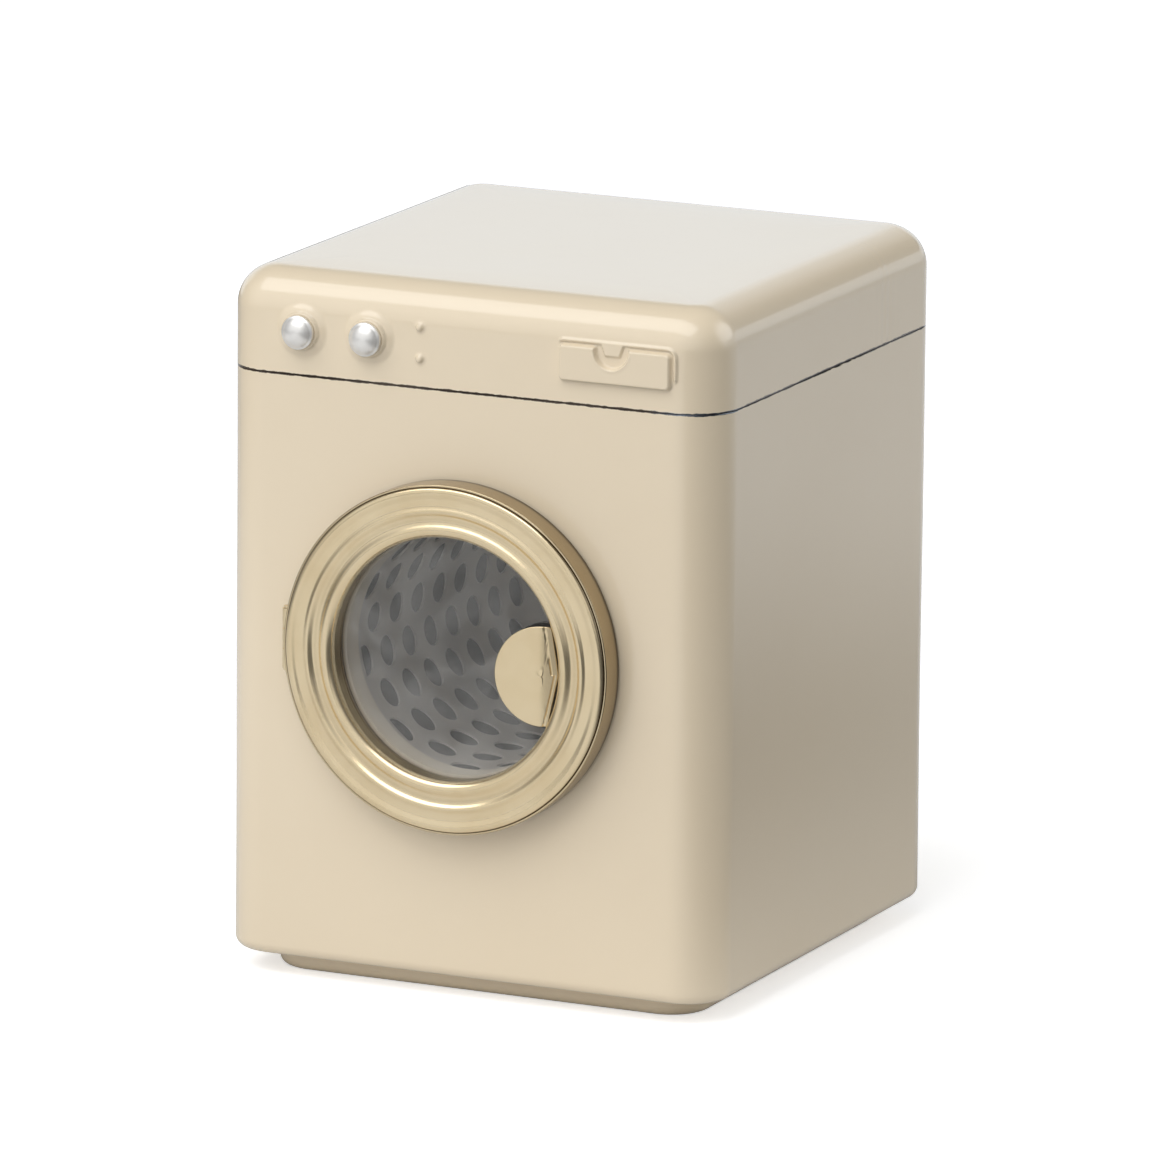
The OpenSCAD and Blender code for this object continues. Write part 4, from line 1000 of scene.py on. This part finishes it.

# Studio
# A white sweep under two soft lamps above the front left, one of which no gloss shows. A lit
# backdrop stands low behind the object and a lit panel behind its left; the room is dim between
# them and the front, and the floor is painted dark at the right front, as painted shade.

# The floor is painted with shade for the light it throws on the object: a little dimmer close round the
# object, dark at the right front and grey far to the left. For the camera it is painted white and glows
floor_material, tree, out = new_material("floor_white")
place = add(tree, "TexCoord")
parts = add(tree, "SeparateXYZ", {"Vector": (place, "Object")})
flat = vectors(tree, "MULTIPLY", (place, "Object"), (1, 1, 0))
away = vectors(tree, "LENGTH", (flat, "Vector"))
near = ramp(tree, (away, "Value"), 0.05, 0.12, 0.95, 1.0, soft=True)
right_dark = ramp(tree, (parts, "X"), 0.03, 0.14, 0.8, 0.12, soft=True)
right_back = ramp(tree, (parts, "Y"), 0.1, 0.4, soft=True)
at_right = add(tree, "Mix", {0: (right_back, "Result"), 2: (right_dark, "Result"), 3: 1.0})
at_left = ramp(tree, (parts, "X"), -0.6, -0.25, 0.35, 1.0, soft=True)
sides = maths(tree, "MULTIPLY", (at_right, 0), (at_left, "Result"))
shade = maths(tree, "MULTIPLY", (sides, "Value"), (near, "Result"))
# Camera rays see the floor painted white with an added glow; other rays see its painted shade
ray = add(tree, "LightPath")
brightness = add(tree, "Mix", {0: (ray, "Is Camera Ray"), 2: (shade, "Value"), 3: 0.97})
glow = maths(tree, "MULTIPLY", (ray, "Is Camera Ray"), 0.5)
finish_surface(tree, out, {
    "Base Color": (brightness, 0), "Roughness": 1.0, "Specular IOR Level": 0.0,
    "Emission Strength": (glow, "Value")})
floor_reach = 4.0
mesh = bpy.data.meshes.new("floor")
mesh.from_pydata([(-floor_reach, -floor_reach, 0), (floor_reach, -floor_reach, 0),
                  (floor_reach, floor_reach, 0), (-floor_reach, floor_reach, 0)], [], [(0, 1, 2, 3)])
mesh.materials.append(floor_material)
floor = bpy.data.objects.new("floor", mesh)
bpy.context.scene.collection.objects.link(floor)

# The room is bright in front towards the lamps, with a glow at the right and behind. Low behind the
# object stands a lit backdrop, and left of the middle a lit panel that fades to the right and upwards
toward_lamps = (-0.22, -0.89, 0.4)
toward_glow = (0.8, 0.45, 0.4)
lit_level = 0.95
world = bpy.data.worlds.new("studio")
bpy.context.scene.world = world
world.use_nodes = True
tree = world.node_tree
tree.nodes.clear()
out = add(tree, "OutputWorld")
place = add(tree, "TexCoord")
parts = add(tree, "SeparateXYZ", {"Vector": (place, "Generated")})
to_front = vectors(tree, "DOT_PRODUCT", (place, "Generated"), toward_lamps)
front_glow = ramp(tree, (to_front, "Value"), 0.3, 0.95, 0.13, 0.85, soft=True)
to_side = vectors(tree, "DOT_PRODUCT", (place, "Generated"), toward_glow)
side_glow = ramp(tree, (to_side, "Value"), 0.85, 0.98, 0.0, 2.2, soft=True)
room = maths(tree, "ADD", (front_glow, "Result"), (side_glow, "Result"))
low = ramp(tree, (parts, "Z"), 0.16, 0.21, 1.0, 0.0, soft=True)
panel_side = ramp(tree, (parts, "X"), -0.12, 0.26, 1.0, 0.0, soft=True)
panel_top = ramp(tree, (parts, "Z"), 0.3, 0.62, 1.0, 0.0, soft=True)
panel = maths(tree, "MULTIPLY", (panel_side, "Result"), (panel_top, "Result"))
lit = maths(tree, "MAXIMUM", (low, "Result"), (panel, "Value"))
behind = ramp(tree, (parts, "Y"), 0.2, 0.45, soft=True)
backdrop = maths(tree, "MULTIPLY", (lit, "Value"), (behind, "Result"))
level = add(tree, "Mix", {0: (backdrop, "Value"), 2: (room, "Value"), 3: lit_level})
tint = blended(tree, (backdrop, "Value"), (0.98, 0.99, 1.0, 1.0), (0.9, 0.95, 1.0, 1.0))
sky = add(tree, "Background", {"Color": (tint, 2), "Strength": (level, 0)})
tree.links.new(sky.outputs["Background"], out.inputs["Surface"])

middle = Vector((0, 0, cad_box[1][2] / 2))


def softbox(name, azimuth, elevation, distance, width, height, power, mirrored):
    """A soft rectangular lamp aimed at the object's middle; azimuth 0 is in front, +90 at its right.

    Gloss shows the lamp only where mirrored is on.
    """
    turn, rise = np.radians([azimuth, elevation])
    back = Vector((np.sin(turn) * np.cos(rise), -np.cos(turn) * np.cos(rise), np.sin(rise)))
    light = bpy.data.lights.new(name, "AREA")
    light.shape = "RECTANGLE"
    light.size = width
    light.size_y = height
    light.energy = power
    lamp = bpy.data.objects.new(name, light)
    lamp.rotation_mode = "QUATERNION"
    lamp.rotation_quaternion = back.to_track_quat("Z", "Y")
    lamp.location = middle + back * distance
    lamp.visible_glossy = mirrored
    bpy.context.scene.collection.objects.link(lamp)


softbox("softbox", -20, 59, 1.2, 1.4, 0.73, 6.6, True)
softbox("softbox_fill", -12, 32, 1.4, 1.0, 0.7, 3.0, False)

# The camera stands where the photograph was taken from: azimuth, elevation and roll in degrees
view_azimuth, view_elevation, view_roll = np.radians([24.943, 12.739, 0.523])
view_distance = 2.08419
view_right = -0.000456
view_up = 0.002252
aim_z = 0.0625
sensor_mm = 36
photo_pixels = 1160
focal_pixels = 11931
cos_rise = np.cos(view_elevation)
back = Vector((np.sin(view_azimuth) * cos_rise, -np.cos(view_azimuth) * cos_rise, np.sin(view_elevation)))
right = Vector((np.cos(view_azimuth), np.sin(view_azimuth), 0))
up = back.cross(right)
eye = Vector((0, 0, aim_z)) + right * view_right + up * view_up + back * view_distance
rolled_right = right * np.cos(view_roll) + up * np.sin(view_roll)
rolled_up = up * np.cos(view_roll) - right * np.sin(view_roll)
lens = bpy.data.cameras.new("camera")
lens.sensor_width = sensor_mm
lens.lens = focal_pixels / photo_pixels * sensor_mm
lens.clip_start = 0.1
lens.clip_end = 30
camera = bpy.data.objects.new("camera", lens)
turn = Matrix((rolled_right, rolled_up, back)).transposed()
camera.matrix_world = Matrix.Translation(eye) @ turn.to_4x4()
bpy.context.scene.collection.objects.link(camera)
bpy.context.scene.camera = camera
bpy.context.scene.view_settings.view_transform = "Standard"
